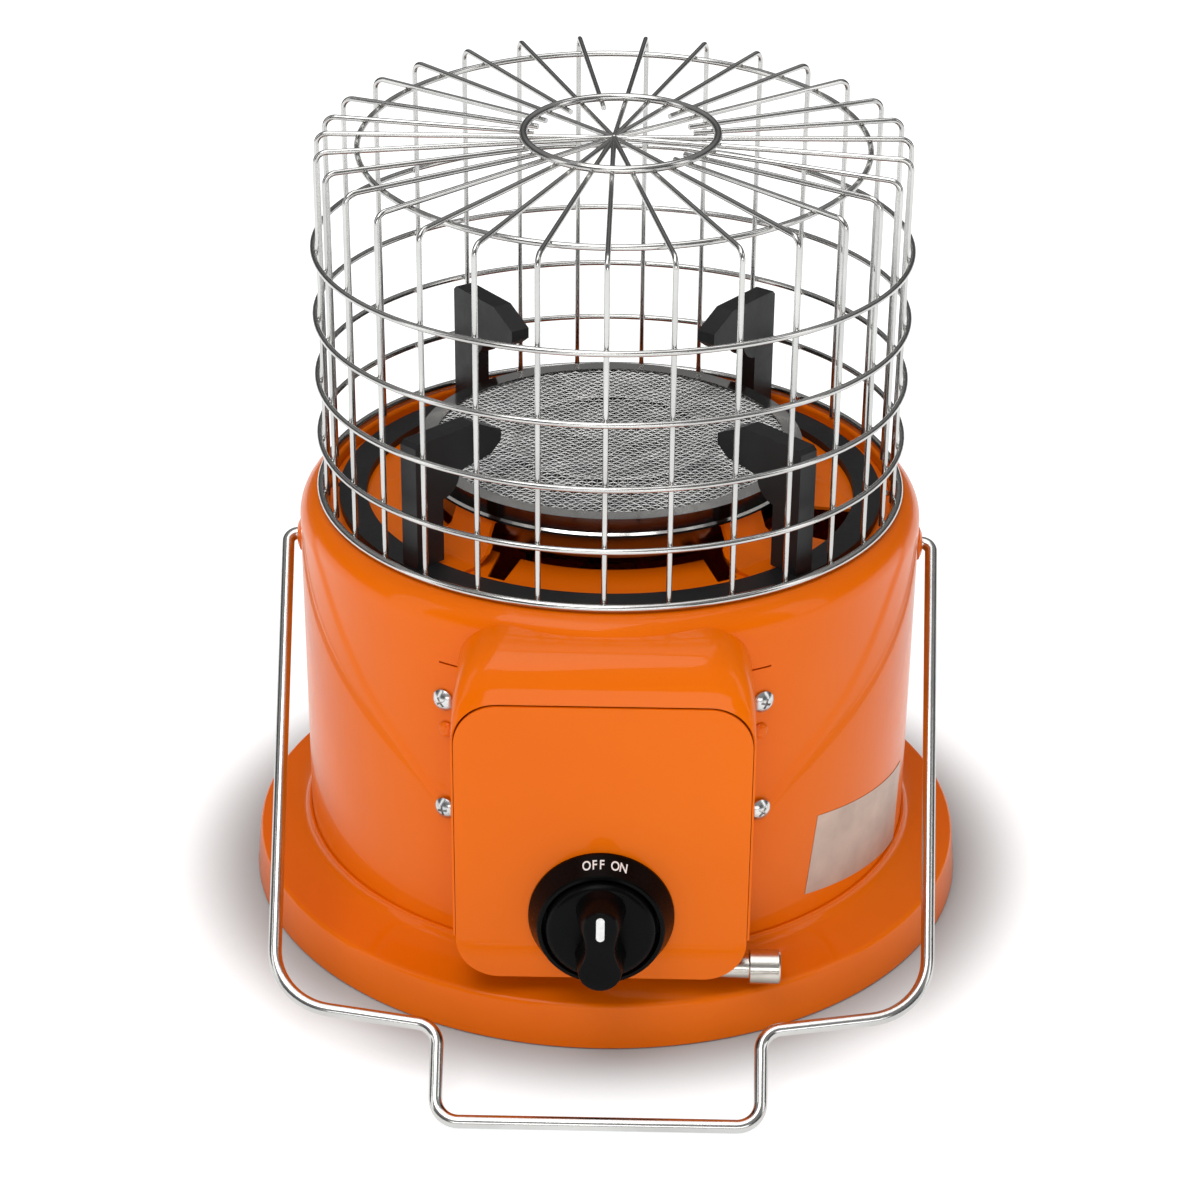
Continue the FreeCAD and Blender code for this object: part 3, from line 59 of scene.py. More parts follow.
# ---------------------------------------------------------------- materials
class Mat:
    """Small helper round one node tree."""

    def __init__(self, name, **values):
        self.m = bpy.data.materials.new(name)
        self.m.use_nodes = True
        self.t = self.m.node_tree
        self.n = self.t.nodes
        self.b = next(x for x in self.n if x.type == "BSDF_PRINCIPLED")
        for k, v in values.items():
            self.b.inputs[k.replace("_", " ")].default_value = v
        self.co = self.n.new("ShaderNodeTexCoord")

    def link(self, a, b):
        self.t.links.new(a, b)

    def mapping(self, scale=(1, 1, 1), rot=(0, 0, 0)):
        n = self.n.new("ShaderNodeMapping")
        n.inputs["Scale"].default_value = scale
        n.inputs["Rotation"].default_value = rot
        self.link(self.co.outputs["Object"], n.inputs["Vector"])
        return n.outputs["Vector"]

    def noise(self, scale, detail=3.0, rough=0.5, vec=None, distortion=0.0):
        n = self.n.new("ShaderNodeTexNoise")
        n.inputs["Scale"].default_value = scale
        n.inputs["Detail"].default_value = detail
        n.inputs["Roughness"].default_value = rough
        n.inputs["Distortion"].default_value = distortion
        self.link(vec or self.co.outputs["Object"], n.inputs["Vector"])
        return n.outputs["Fac"]

    def voronoi(self, scale, vec=None, feature="F1"):
        n = self.n.new("ShaderNodeTexVoronoi")
        n.feature = feature
        n.inputs["Scale"].default_value = scale
        self.link(vec or self.co.outputs["Object"], n.inputs["Vector"])
        return n.outputs["Distance"]

    def wave(self, scale, vec=None, direction="Z", distortion=0.0, detail=0.0):
        n = self.n.new("ShaderNodeTexWave")
        n.bands_direction = direction
        n.inputs["Scale"].default_value = scale
        n.inputs["Distortion"].default_value = distortion
        n.inputs["Detail"].default_value = detail
        self.link(vec or self.co.outputs["Object"], n.inputs["Vector"])
        return n.outputs["Fac"]

    def rng(self, fac, lo, hi, a=0.0, b=1.0):
        n = self.n.new("ShaderNodeMapRange")
        n.clamp = True
        n.inputs["From Min"].default_value = a
        n.inputs["From Max"].default_value = b
        n.inputs["To Min"].default_value = lo
        n.inputs["To Max"].default_value = hi
        self.link(fac, n.inputs["Value"])
        return n.outputs["Result"]

    def ramp(self, fac, stops):
        n = self.n.new("ShaderNodeValToRGB")
        e = n.color_ramp.elements
        while len(e) < len(stops):
            e.new(0.5)
        for el, (p, c) in zip(e, stops):
            el.position = p
            el.color = (*c, 1) if len(c) == 3 else c
        self.link(fac, n.inputs["Fac"])
        return n.outputs["Color"]

    def mix(self, fac, a, b, blend="MIX"):
        n = self.n.new("ShaderNodeMix")
        n.data_type = "RGBA"
        n.blend_type = blend
        for sock, v in ((n.inputs[0], fac), (n.inputs[6], a), (n.inputs[7], b)):
            if isinstance(v, (int, float)):
                sock.default_value = v
            elif isinstance(v, tuple):
                sock.default_value = (*v, 1)
            else:
                self.link(v, sock)
        return n.outputs[2]

    def math(self, op, a, b=0.0):
        n = self.n.new("ShaderNodeMath")
        n.operation = op
        for sock, v in ((n.inputs[0], a), (n.inputs[1], b)):
            if isinstance(v, (int, float)):
                sock.default_value = v
            else:
                self.link(v, sock)
        return n.outputs[0]

    def bump(self, height, strength, distance, prev=None):
        n = self.n.new("ShaderNodeBump")
        n.inputs["Strength"].default_value = strength
        n.inputs["Distance"].default_value = distance
        self.link(height, n.inputs["Height"])
        if prev is not None:
            self.link(prev, n.inputs["Normal"])
        return n.outputs["Normal"]

    def color(self, c):
        self.link(c, self.b.inputs["Base Color"])
        return self

    def rough(self, r):
        self.link(r, self.b.inputs["Roughness"])
        return self

    def normal(self, n):
        self.link(n, self.b.inputs["Normal"])
        return self


def orange_enamel():
    m = Mat("orange_enamel", Roughness=0.3, Coat_Weight=0.36, Coat_Roughness=0.02, Coat_IOR=1.37, Specular_IOR_Level=0.06)
    big = m.noise(9.0, 3.0, 0.5)
    fine = m.noise(160.0, 4.0, 0.6)
    base = m.ramp(big, [(0.30, (0.800, 0.136, 0.0)), (0.55, (0.835, 0.149, 0.0)), (0.78, (0.855, 0.160, 0.0))])
    speck = m.rng(m.noise(2200.0, 1.0, 0.5), 0.0, 0.16, 0.66, 0.74)
    m.color(m.mix(speck, base, (0.64, 0.100, 0.0)))
    m.rough(m.rng(fine, 0.24, 0.38))
    peel = m.noise(420.0, 2.0, 0.45)
    sag = m.noise(26.0, 2.0, 0.5)
    m.normal(m.bump(peel, 0.10, 0.00006, m.bump(sag, 0.25, 0.0006)))
    return m.m


def chrome_wire():
    m = Mat("chrome_wire", Metallic=1.0, Roughness=0.2)
    big = m.noise(35.0, 3.0, 0.5)
    m.color(m.ramp(big, [(0.25, (0.46, 0.455, 0.445)), (0.6, (0.57, 0.565, 0.55)), (0.85, (0.66, 0.65, 0.635))]))
    streak = m.noise(700.0, 3.0, 0.6)
    m.rough(m.rng(streak, 0.10, 0.26))
    m.normal(m.bump(m.noise(1500.0, 2.0, 0.5), 0.25, 0.00004))
    return m.m


def black_enamel():
    m = Mat("black_enamel", Roughness=0.45, Specular_IOR_Level=0.3)
    big = m.noise(30.0, 4.0, 0.6)
    heat = m.noise(12.0, 2.0, 0.5)
    base = m.ramp(big, [(0.3, (0.008, 0.008, 0.0085)), (0.7, (0.016, 0.016, 0.017))])
    m.color(m.mix(m.rng(heat, 0.0, 0.5, 0.55, 0.8), base, (0.026, 0.024, 0.022)))
    m.rough(m.rng(m.noise(240.0, 4.0, 0.6), 0.34, 0.58))
    m.normal(m.bump(m.noise(900.0, 3.0, 0.6), 0.35, 0.00008, m.bump(m.noise(110.0, 2.0, 0.5), 0.3, 0.0003)))
    return m.m


def black_plastic():
    m = Mat("black_plastic", Roughness=0.28, Specular_IOR_Level=0.06)
    m.color(m.ramp(m.noise(60.0, 3.0, 0.5), [(0.3, (0.0015, 0.0015, 0.0016)), (0.75, (0.0035, 0.0035, 0.0036))]))
    m.rough(m.rng(m.noise(180.0, 4.0, 0.6), 0.20, 0.38))
    m.normal(m.bump(m.voronoi(1600.0), 0.08, 0.00004, m.bump(m.noise(45.0, 2.0, 0.5), 0.15, 0.0003)))
    return m.m


def white_print():
    m = Mat("white_print", Roughness=0.5)
    m.color(m.ramp(m.noise(500.0, 3.0, 0.5), [(0.3, (0.80, 0.80, 0.78)), (0.7, (0.90, 0.90, 0.89))]))
    m.rough(m.rng(m.noise(900.0, 2.0, 0.5), 0.42, 0.62))
    m.normal(m.bump(m.noise(2500.0, 2.0, 0.5), 0.2, 0.00003))
    return m.m


def stainless(name="stainless", heat=False, tone=1.0, r0=0.14, r1=0.34, walls_painted_dark=False):
    m = Mat(name, Metallic=1.0, Roughness=0.25)
    vec = m.mapping((1, 1, 14))
    brush = m.noise(190.0, 4.0, 0.65, vec)
    base = m.ramp(m.noise(18.0, 3.0, 0.5), [(0.3, (0.50 * tone, 0.49 * tone, 0.47 * tone)), (0.7, (0.66 * tone, 0.65 * tone, 0.63 * tone))])
    # The heat tint colours are near black: partly heat tint, partly painted shade.
    if heat:
        tint = m.ramp(m.noise(22.0, 2.0, 0.5), [(0.35, (0.03, 0.029, 0.028)), (0.55, (0.035, 0.027, 0.02)), (0.7, (0.025, 0.022, 0.025))])
        base = m.mix(m.rng(m.noise(30.0, 2.0, 0.5), 0.0, 0.45, 0.4, 0.75), base, tint)
    # Painted reflection: faces that stand upright are mixed towards a dark grey and flat faces keep the steel colour,
    # a painted dark reflection on the walls.
    if walls_painted_dark:
        sep_ = m.n.new("ShaderNodeSeparateXYZ")
        m.link(m.co.outputs["Normal"], sep_.inputs["Vector"])
        flat = m.rng(m.math("ABSOLUTE", sep_.outputs["Z"]), 0.0, 1.0, 0.25, 0.8)
        base = m.mix(flat, (0.20, 0.19, 0.185), base)
    m.color(base)
    m.rough(m.rng(brush, r0, r1))
    m.normal(m.bump(brush, 0.12, 0.00006, m.bump(m.noise(40.0, 2.0, 0.5), 0.2, 0.0006)))
    return m.m


def mesh_wire():
    m = Mat("mesh_wire", Metallic=0.9, Roughness=0.34)
    base = m.ramp(m.noise(60.0, 4.0, 0.6), [(0.3, (0.50, 0.50, 0.495)), (0.55, (0.68, 0.68, 0.67)), (0.8, (0.90, 0.89, 0.87))])
    m.color(base)
    m.rough(m.rng(m.noise(400.0, 3.0, 0.6), 0.3, 0.55))
    m.normal(m.bump(m.noise(3000.0, 2.0, 0.5), 0.3, 0.00003))
    return m.m


def plated(name, lo, hi, r0, r1, metallic=1.0):
    m = Mat(name, Metallic=metallic, Roughness=r0)
    m.color(m.ramp(m.noise(70.0, 4.0, 0.55), [(0.3, lo), (0.7, hi)]))
    m.rough(m.rng(m.noise(420.0, 4.0, 0.6), r0, r1))
    m.normal(m.bump(m.noise(1300.0, 2.0, 0.5), 0.25, 0.00005, m.bump(m.noise(120.0, 2.0, 0.5), 0.15, 0.0002)))
    return m.m


def rubber():
    m = Mat("lead_rubber", Roughness=0.6)
    m.color(m.ramp(m.noise(90.0, 3.0, 0.5), [(0.3, (0.018, 0.018, 0.018)), (0.7, (0.035, 0.034, 0.033))]))
    m.rough(m.rng(m.noise(500.0, 3.0, 0.5), 0.5, 0.75))
    m.normal(m.bump(m.noise(1800.0, 2.0, 0.5), 0.25, 0.00004))
    return m.m


def foil():
    m = Mat("silver_foil", Metallic=0.75, Roughness=0.42)
    vec = m.mapping((1, 1, 1))
    m.color(m.ramp(m.noise(55.0, 4.0, 0.55, vec), [(0.3, (0.45, 0.335, 0.28)), (0.6, (0.54, 0.405, 0.335)), (0.85, (0.62, 0.475, 0.395))]))
    m.rough(m.rng(m.noise(260.0, 4.0, 0.6), 0.34, 0.55))
    m.normal(m.bump(m.noise(85.0, 3.0, 0.5), 0.18, 0.0003, m.bump(m.noise(1900.0, 2.0, 0.5), 0.12, 0.00003)))
    return m.m


def ceramic():
    m = Mat("white_ceramic", Roughness=0.25, Coat_Weight=0.3)
    m.color(m.ramp(m.noise(120.0, 4.0, 0.5), [(0.3, (0.74, 0.72, 0.66)), (0.7, (0.84, 0.82, 0.77))]))
    m.rough(m.rng(m.noise(600.0, 2.0, 0.5), 0.18, 0.34))
    m.normal(m.bump(m.noise(700.0, 2.0, 0.5), 0.15, 0.00005))
    return m.m


M = {
    "orange_enamel": orange_enamel(),
    "chrome_wire": chrome_wire(),
    "black_enamel": black_enamel(),
    "black_plastic": black_plastic(),
    "white_plastic": white_print(),
    "stainless": stainless(),
    # rim_steel is toned up to 1.4 for a painted highlight on the rim; bowl_steel is toned down to 0.45 for a painted
    # dark reflection; both darken their upright walls as painted reflection.
    "rim_steel": stainless("rim_steel", tone=1.4, r0=0.05, r1=0.16, walls_painted_dark=True),
    "bowl_steel": stainless("bowl_steel", tone=0.45, r0=0.08, r1=0.22, walls_painted_dark=True),
    # The baffle is toned almost black (tone 0.05) so the mesh's holes look dark: painted shade under the mesh, with
    # heat tint patches on top.
    "dark_steel": stainless("dark_steel", heat=True, tone=0.05),
    "zinc_steel": plated("zinc_steel", (0.52, 0.53, 0.54), (0.68, 0.68, 0.67), 0.16, 0.32),
    "nickel": plated("nickel", (0.50, 0.47, 0.42), (0.66, 0.63, 0.58), 0.14, 0.30),
    "brass": plated("brass", (0.55, 0.36, 0.13), (0.68, 0.47, 0.19), 0.20, 0.36),
    "white_ceramic": ceramic(),
    "lead_rubber": rubber(),
    "silver_foil": foil(),
    "mesh_wire": mesh_wire(),
}


def paint(obj, mat):
    obj.data.materials.clear()
    obj.data.materials.append(mat)


slot_of = {s["node"]: s["material_slot"] for s in frame["record"]["subparts"]}
for name, obj in NODES.items():
    paint(obj, M[slot_of[name]])
paint(NODES["burner_rim"], M["rim_steel"])
paint(NODES["burner_baffle"], M["dark_steel"])
paint(NODES["burner_bowl"], M["bowl_steel"])


def smooth(obj, angle=32.0):
    """Smooth shading with sharp edges kept where faces meet steeply."""
    me = obj.data
    bm = bmesh.new()
    bm.from_mesh(me)
    lim = math.radians(angle)
    for f in bm.faces:
        f.smooth = True
    for e in bm.edges:
        e.smooth = not (len(e.link_faces) == 2 and e.calc_face_angle(0.0) > lim) and len(e.link_faces) == 2
    bm.to_mesh(me)
    bm.free()


def new_mesh(name, verts, faces, mat, body, scale=MM):
    me = bpy.data.meshes.new(name)
    me.from_pydata([(x * scale, y * scale, z * scale) for x, y, z in verts], [], faces)
    me.validate()
    me.update()
    ob = bpy.data.objects.new(name, me)
    scene.collection.objects.link(ob)
    paint(ob, mat)
    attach(ob, body)
    return ob


def fix_normals(ob):
    bm = bmesh.new()
    bm.from_mesh(ob.data)
    bmesh.ops.recalc_face_normals(bm, faces=bm.faces)
    bm.to_mesh(ob.data)
    bm.free()


# ---------------------------------------------------------------- burner mesh: woven wire cloth, a little wrinkled
def woven_mesh():
    R, pitch, wr = 71.2, 1.9, 0.36
    z0 = 181.3
    rng = np.random.default_rng(3)
    folds = [(rng.uniform(-50, 50), rng.uniform(-50, 50), rng.uniform(0, math.pi), rng.uniform(6, 14), rng.uniform(0.25, 0.6)) for _ in range(9)]

    def lift(x, y):
        r = math.hypot(x, y)
        fade = min(max((66.0 - r) / 8.0, 0.0), 1.0)
        z = 0.35 * math.sin(x * 0.083 + 1.1) * math.sin(y * 0.071 - 0.6) + 0.75 * math.exp(-((r - 38.5) / 1.9) ** 2)
        for cx, cy, a, w, h in folds:
            d = (x - cx) * math.cos(a) + (y - cy) * math.sin(a)
            l = -(x - cx) * math.sin(a) + (y - cy) * math.cos(a)
            z += h * math.exp(-(d / 2.6) ** 2) * math.exp(-(l / w) ** 2)
        return z * fade

    verts, faces = [], []
    n = int(R / pitch)
    for direction in (0, 1):
        for i in range(-n, n + 1):
            off = i * pitch
            half = math.sqrt(max(R * R - off * off, 0.0))
            k = int(half / pitch)
            if k < 2:
                continue
            base = len(verts)
            count = 0
            for j in range(-k, k + 1):
                s = j * pitch
                x, y = (s, off) if direction == 0 else (off, s)
                fade = min(max((69.0 - math.hypot(x, y)) / 5.0, 0.0), 1.0)
                sway_x = 0.55 * math.sin(y * 0.21 + 0.7 * math.sin(x * 0.13)) + 0.3 * math.sin(x * 0.37 + y * 0.29)
                sway_y = 0.55 * math.sin(x * 0.19 - 0.8 * math.sin(y * 0.11)) + 0.3 * math.sin(y * 0.33 - x * 0.27)
                x, y = x + fade * (sway_x + rng.uniform(-0.1, 0.1)), y + fade * (sway_y + rng.uniform(-0.1, 0.1))
                up = wr * 0.9 * (1 if (i + j) % 2 == 0 else -1) * (1 if direction == 0 else -1)
                z = z0 + lift(x, y) + up
                for q in range(3):
                    a = 2 * math.pi * q / 3 + math.pi / 2
                    side, hgt = wr * math.cos(a), wr * math.sin(a)
                    verts.append((x, y + side, z + hgt) if direction == 0 else (x + side, y, z + hgt))
                count += 1
            for j in range(count - 1):
                for q in range(3):
                    a, b = base + j * 3 + q, base + j * 3 + (q + 1) % 3
                    faces.append((a, b, b + 3, a + 3))
            faces.append((base + 2, base + 1, base))
            e = base + (count - 1) * 3
            faces.append((e, e + 1, e + 2))
    ob = new_mesh("burner_mesh_cloth", verts, faces, M["mesh_wire"], "heater")
    fix_normals(ob)
    for p in ob.data.polygons:
        p.use_smooth = True
    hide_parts("burner_mesh")
    return ob


woven_mesh()


# ---------------------------------------------------------------- knob: turned skirt with a pinched bar grip
def knob_piece():
    fy, cz = -134.6, 54.3
    verts, faces = [], []
    n = 96

    def ring(r, d, bump=None):
        start = len(verts)
        for k in range(n):
            a = 2 * math.pi * k / n
            rr = r if bump is None else r + bump(a)
            verts.append((rr * math.sin(a), fy - d, cz + rr * math.cos(a)))
        return start

    rings = []
    for r, d in ((3.1, 4.0), (5.5, 4.0), (5.6, 4.3), (5.6, 9.5), (17.5, 9.5), (17.6, 4.4), (18.0, 4.05), (19.6, 4.05), (19.9, 4.4),
                 (19.9, 9.6), (19.75, 10.5), (19.3, 11.35), (18.6, 12.0), (17.7, 12.4), (16.8, 12.5), (12.0, 12.35), (6.0, 12.3), (0.4, 12.3)):
        rings.append(ring(r, d))
    for a, b in zip(rings, rings[1:]):
        for k in range(n):
            faces.append((a + k, a + (k + 1) % n, b + (k + 1) % n, b + k))
    faces.append(tuple(rings[-1] + k for k in range(n)))
    # grip: a figure of eight, wide at the foot and narrow at the crown
    m = 120

    def outline(r_up, z_up, r_lo, z_lo, waist):
        pts = []
        for k in range(m):
            a = 2 * math.pi * k / m
            s, c = math.sin(a), math.cos(a)
            half = (z_up + r_up - (z_lo - r_lo)) / 2
            mid = (z_up + r_up + z_lo - r_lo) / 2
            z = mid + half * c
            if z > z_up:
                w = math.sqrt(max(r_up ** 2 - (z - z_up) ** 2, 0))
            elif z < z_lo:
                w = math.sqrt(max(r_lo ** 2 - (z - z_lo) ** 2, 0))
            else:
                t = (z - z_lo) / (z_up - z_lo)
                line = r_lo + (r_up - r_lo) * t
                w = line + (waist - line) * math.sin(math.pi * t) ** 1.3
            pts.append((w * (1 if s >= 0 else -1), z))
        return pts

    foot = outline(8.6, 9.3, 8.8, -7.9, 6.2)
    crown = outline(5.2, 11.9, 7.3, -8.0, 4.7)
    base = len(verts)
    steps = 16
    for i in range(steps + 1):
        t = i / steps
        inn = (1 - math.cos(t * math.pi / 2)) ** 0.82
        up = math.sin(t * math.pi / 2) ** 0.9
        flare = 0.7 * max(0.0, 1 - t * 6) ** 2
        for (fx, fz), (cx, cz_) in zip(foot, crown):
            x, z = fx + (cx - fx) * inn, fz + (cz_ - fz) * inn
            l = math.hypot(x, z) or 1
            verts.append((x + flare * x / l, fy - (12.0 + 13.25 * up), cz + z + flare * z / l))
    for i in range(steps):
        a, b = base + i * m, base + (i + 1) * m
        for k in range(m):
            faces.append((a + k, a + (k + 1) % m, b + (k + 1) % m, b + k))
    # crown closes with two shrinking loops
    last = base + steps * m
    prev = last
    for sc, dd in ((0.94, 0.15), (0.84, 0.24), (0.5, 0.25), (0.12, 0.25)):
        st = len(verts)
        for k in range(m):
            x, z = crown[k]
            zc = 0.0
            verts.append((x * sc, fy - (25.25 + dd), cz + zc + (z - zc) * sc))
        for k in range(m):
            faces.append((prev + k, prev + (k + 1) % m, st + (k + 1) % m, st + k))
        prev = st
    faces.append(tuple(prev + k for k in range(m)))
    faces.append(tuple(base + k for k in reversed(range(m))))
    ob = new_mesh("knob_moulding", verts, faces, M["black_plastic"], "knob")
    fix_normals(ob)
    smooth(ob, 50)
    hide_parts("control_knob")
    return ob


knob_piece()


def pointer_piece():
    fy, cz = -134.6, 54.3
    verts, faces = [], []
    n = 48
    rings = []
    for inset, d in ((0.0, 25.2), (0.0, 25.62), (0.12, 25.74), (0.35, 25.75)):
        start = len(verts)
        for k in range(n):
            a = 2 * math.pi * k / n
            r = 1.5 - inset
            zc = 3.4 if math.cos(a) >= 0 else -3.4
            verts.append((r * math.sin(a), fy - d, cz + 10.5 + zc + r * math.cos(a)))
        rings.append(start)
    for a, b in zip(rings, rings[1:]):
        for k in range(n):
            faces.append((a + k, a + (k + 1) % n, b + (k + 1) % n, b + k))
    faces.append(tuple(rings[-1] + k for k in range(n)))
    faces.append(tuple(rings[0] + k for k in reversed(range(n))))
    ob = new_mesh("knob_pointer_bar", verts, faces, M["white_plastic"], "knob")
    fix_normals(ob)
    smooth(ob, 40)
    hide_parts("knob_pointer")
    return ob


pointer_piece()


# ---------------------------------------------------------------- OFF and ON on the knob ring's cone face
def ring_text(word, mid_deg, size=4.1, spread=0.9):
    fy, cz = -134.6, 54.3
    r_base, r_top, d_top = 26.3, 22.9, 9.6
    r_mid, d_mid = 24.55, 5.4
    slope = math.atan2(d_top - 1.2, r_base - r_top)
    widths = {"O": 0.80, "F": 0.64, "N": 0.74}
    gap = 0.10
    total = sum(widths[c] for c in word) + gap * (len(word) - 1)
    at = -total / 2
    objs = []
    for i, ch in enumerate(word):
        w = widths[ch]
        a = math.radians(mid_deg) + (at + w / 2) * size * spread / 26.0
        at += w + gap
        cu = bpy.data.curves.new("txt", "FONT")
        cu.body = ch
        cu.size = size * 1.28 * MM
        cu.align_x = "CENTER"
        cu.align_y = "CENTER"
        cu.extrude = 0.05 * MM
        cu.offset = 0.08 * MM
        t = bpy.data.objects.new("txt", cu)
        scene.collection.objects.link(t)
        bpy.context.view_layer.update()
        me = bpy.data.meshes.new_from_object(t)
        bpy.data.objects.remove(t)
        radial = Vector((math.sin(a), 0, math.cos(a)))
        tangent = Vector((math.cos(a), 0, -math.sin(a)))
        # along the cone: from the base edge inwards and to the front
        up = (radial * (r_base - r_top) + Vector((0, 1, 0)) * (d_top - 1.2)).normalized()
        normal = tangent.cross(up).normalized()
        if normal.dot(radial) < 0:
            normal = -normal
        up = normal.cross(tangent).normalized()
        pos = Vector((0, fy - d_mid, cz)) + radial * (r_mid + 0.03)
        mtx = Matrix((
            (tangent.x, up.x, normal.x, pos.x * MM),
            (tangent.y, up.y, normal.y, pos.y * MM),
            (tangent.z, up.z, normal.z, pos.z * MM),
            (0, 0, 0, 1)))
        me.transform(mtx @ Matrix.Diagonal((0.76, 1.07, 1.0, 1.0)))
        o = bpy.data.objects.new("txt_%s_%d" % (word, i), me)
        scene.collection.objects.link(o)
        objs.append(o)
    for o in bpy.context.selected_objects:
        o.select_set(False)
    for o in objs:
        o.select_set(True)
    bpy.context.view_layer.objects.active = objs[0]
    bpy.ops.object.join()
    ob = objs[0]
    ob.name = "ring_word_" + word
    paint(ob, M["white_plastic"])
    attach(ob, "heater")
    return ob


ring_text("OFF", -6.5)
ring_text("ON", 14.7)


# ---------------------------------------------------------------- drum with its pressed V lines
CREASE = [(69.2, 160.0), (62.9, 149.0), (55.2, 131.0), (48.5, 116.5), (38.7, 99.5), (31.0, 84.0), (27.0, 74.0)]


def crease_height(rel, z):
    """Millimetres that the wall is pressed in at this angle from the front and height."""
    a = abs(rel)
    pts = CREASE
    best, side = 1e9, 1
    for (a0, z0), (a1, z1) in zip(pts, pts[1:]):
        x0, x1, x = a0 * 2.0735, a1 * 2.0735, a * 2.0735
        dx, dz = x1 - x0, z1 - z0
        t = ((x - x0) * dx + (z - z0) * dz) / (dx * dx + dz * dz)
        t = min(max(t, 0.0), 1.0)
        px, pz = x0 + dx * t, z0 + dz * t
        d = math.hypot(x - px, z - pz)
        if d < best:
            best = d
            side = 1 if (dx * (z - pz) - dz * (x - px)) < 0 else -1
    s = best * side
    step = 1 / (1 + math.exp(-s / 0.55))
    fade = min(max((84.0 - 72.0) and (z - 70.0) / 12.0, 0.0), 1.0)
    top = min(max((162.0 - z) / 6.0, 0.0), 1.0)
    far = math.exp(-(max(best, 0) / 26.0) ** 2)
    return 0.8 * step * fade * top * far


def cut_openings(ob):
    """The valve window, the slots for the hood's walls with their corner slits, and the bail's pivot holes."""
    outlines = [([(-32.0, 38.0), (32.0, 38.0), (32.0, 74.0), (-32.0, 74.0)], -92.8)]
    for s in (-1, 1):
        zs = 139.9 if s > 0 else 139.3
        outlines.append(([(s * x, z) for x, z in ((48.4, 65.5), (51.3, 65.5), (51.3, zs), (59.1, zs), (59.1, zs + 0.7), (51.3, zs + 0.7), (51.3, 140.6), (48.4, 140.6))
                          if not (s > 0 and (x, z) in ((51.3, zs + 0.7), (51.3, 140.6)))], -98.8))
    v, f = [], []
    for pts, y1 in outlines:
        n0, c = len(v), len(pts)
        v += [(x, -122.8, z) for x, z in pts] + [(x, y1, z) for x, z in pts]
        f += [(n0 + k, n0 + (k + 1) % c, n0 + c + (k + 1) % c, n0 + c + k) for k in range(c)]
        f += [tuple(n0 + k for k in range(c)), tuple(n0 + c + k for k in reversed(range(c)))]
    for s in (-1, 1):
        n0 = len(v)
        for x in (s * 112.0, s * 123.0):
            v += [(x, 4.0 * math.cos(2 * math.pi * k / 32), 139.5 + 4.0 * math.sin(2 * math.pi * k / 32)) for k in range(32)]
        f += [(n0 + k, n0 + (k + 1) % 32, n0 + 32 + (k + 1) % 32, n0 + 32 + k) for k in range(32)]
        f += [tuple(n0 + k for k in range(32)), tuple(n0 + 32 + k for k in reversed(range(32)))]
    me = bpy.data.meshes.new("drum_cutter")
    me.from_pydata([(x * MM, y * MM, z * MM) for x, y, z in v], [], f)
    cutter = bpy.data.objects.new("drum_cutter", me)
    scene.collection.objects.link(cutter)
    fix_normals(cutter)
    mod = ob.modifiers.new("openings", "BOOLEAN")
    mod.operation = "DIFFERENCE"
    mod.solver = "EXACT"
    mod.object = cutter
    bpy.context.view_layer.objects.active = ob
    bpy.context.view_layer.update()
    dg = bpy.context.evaluated_depsgraph_get()
    done = bpy.data.meshes.new_from_object(ob.evaluated_get(dg))
    ob.modifiers.clear()
    ob.data = done
    bpy.data.objects.remove(cutter)
    bm = bmesh.new()
    bm.from_mesh(ob.data)
    bmesh.ops.remove_doubles(bm, verts=bm.verts, dist=2e-6)
    bmesh.ops.dissolve_degenerate(bm, edges=bm.edges, dist=1e-6)
    bm.to_mesh(ob.data)
    bm.free()


def drum_piece():
    prof = []  # (R, z, crease weight)
    z = 8.0
    zs = list(np.arange(8.0, 66.0, 6.0)) + list(np.arange(66.0, 154.0, 1.25)) + [154.3]
    for z in zs:
        prof.append((DRUM_R, z, 1.0))
    for k in range(1, 13):
        a = math.radians(90 * k / 12)
        prof.append((DRUM_R - 10 + 10 * math.cos(a), 154.3 + 10 * math.sin(a), 1.0 - k / 12))
    prof += [(108.55, 164.25, 0), (108.1, 163.9, 0), (107.75, 163.4, 0), (107.6, 162.8, 0), (107.6, 158.8, 0), (101.0, 158.8, 0), (101.0, 157.6, 0), (108.8, 157.6, 0),
             (108.8, 163.1, 0), (111.0, 162.9, 0), (114.5, 161.2, 0), (116.6, 158.2, 0), (117.6, 154.3, 0), (117.6, 8.0, 0)]
    n = 720
    verts, faces = [], []
    for r, z, w in prof:
        for k in range(n):
            az = 360.0 * k / n
            rel = ((az + 90 + 180) % 360) - 180
            rr = r - (w * crease_height(rel, z) if (w > 0 and z > 66) else 0.0)
            a = math.radians(az)
            verts.append((rr * math.cos(a), rr * math.sin(a), z))
    p = len(prof)
    for i in range(p):
        for k in range(n):
            a, b = i * n + k, i * n + (k + 1) % n
            c, d = ((i + 1) % p) * n + (k + 1) % n, ((i + 1) % p) * n + k
            faces.append((a, b, c, d))
    ob = new_mesh("drum_pressing", verts, faces, M["orange_enamel"], "heater")
    fix_normals(ob)
    cut_openings(ob)
    smooth(ob, 30)
    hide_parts("drum_shell")
    return ob


drum_piece()


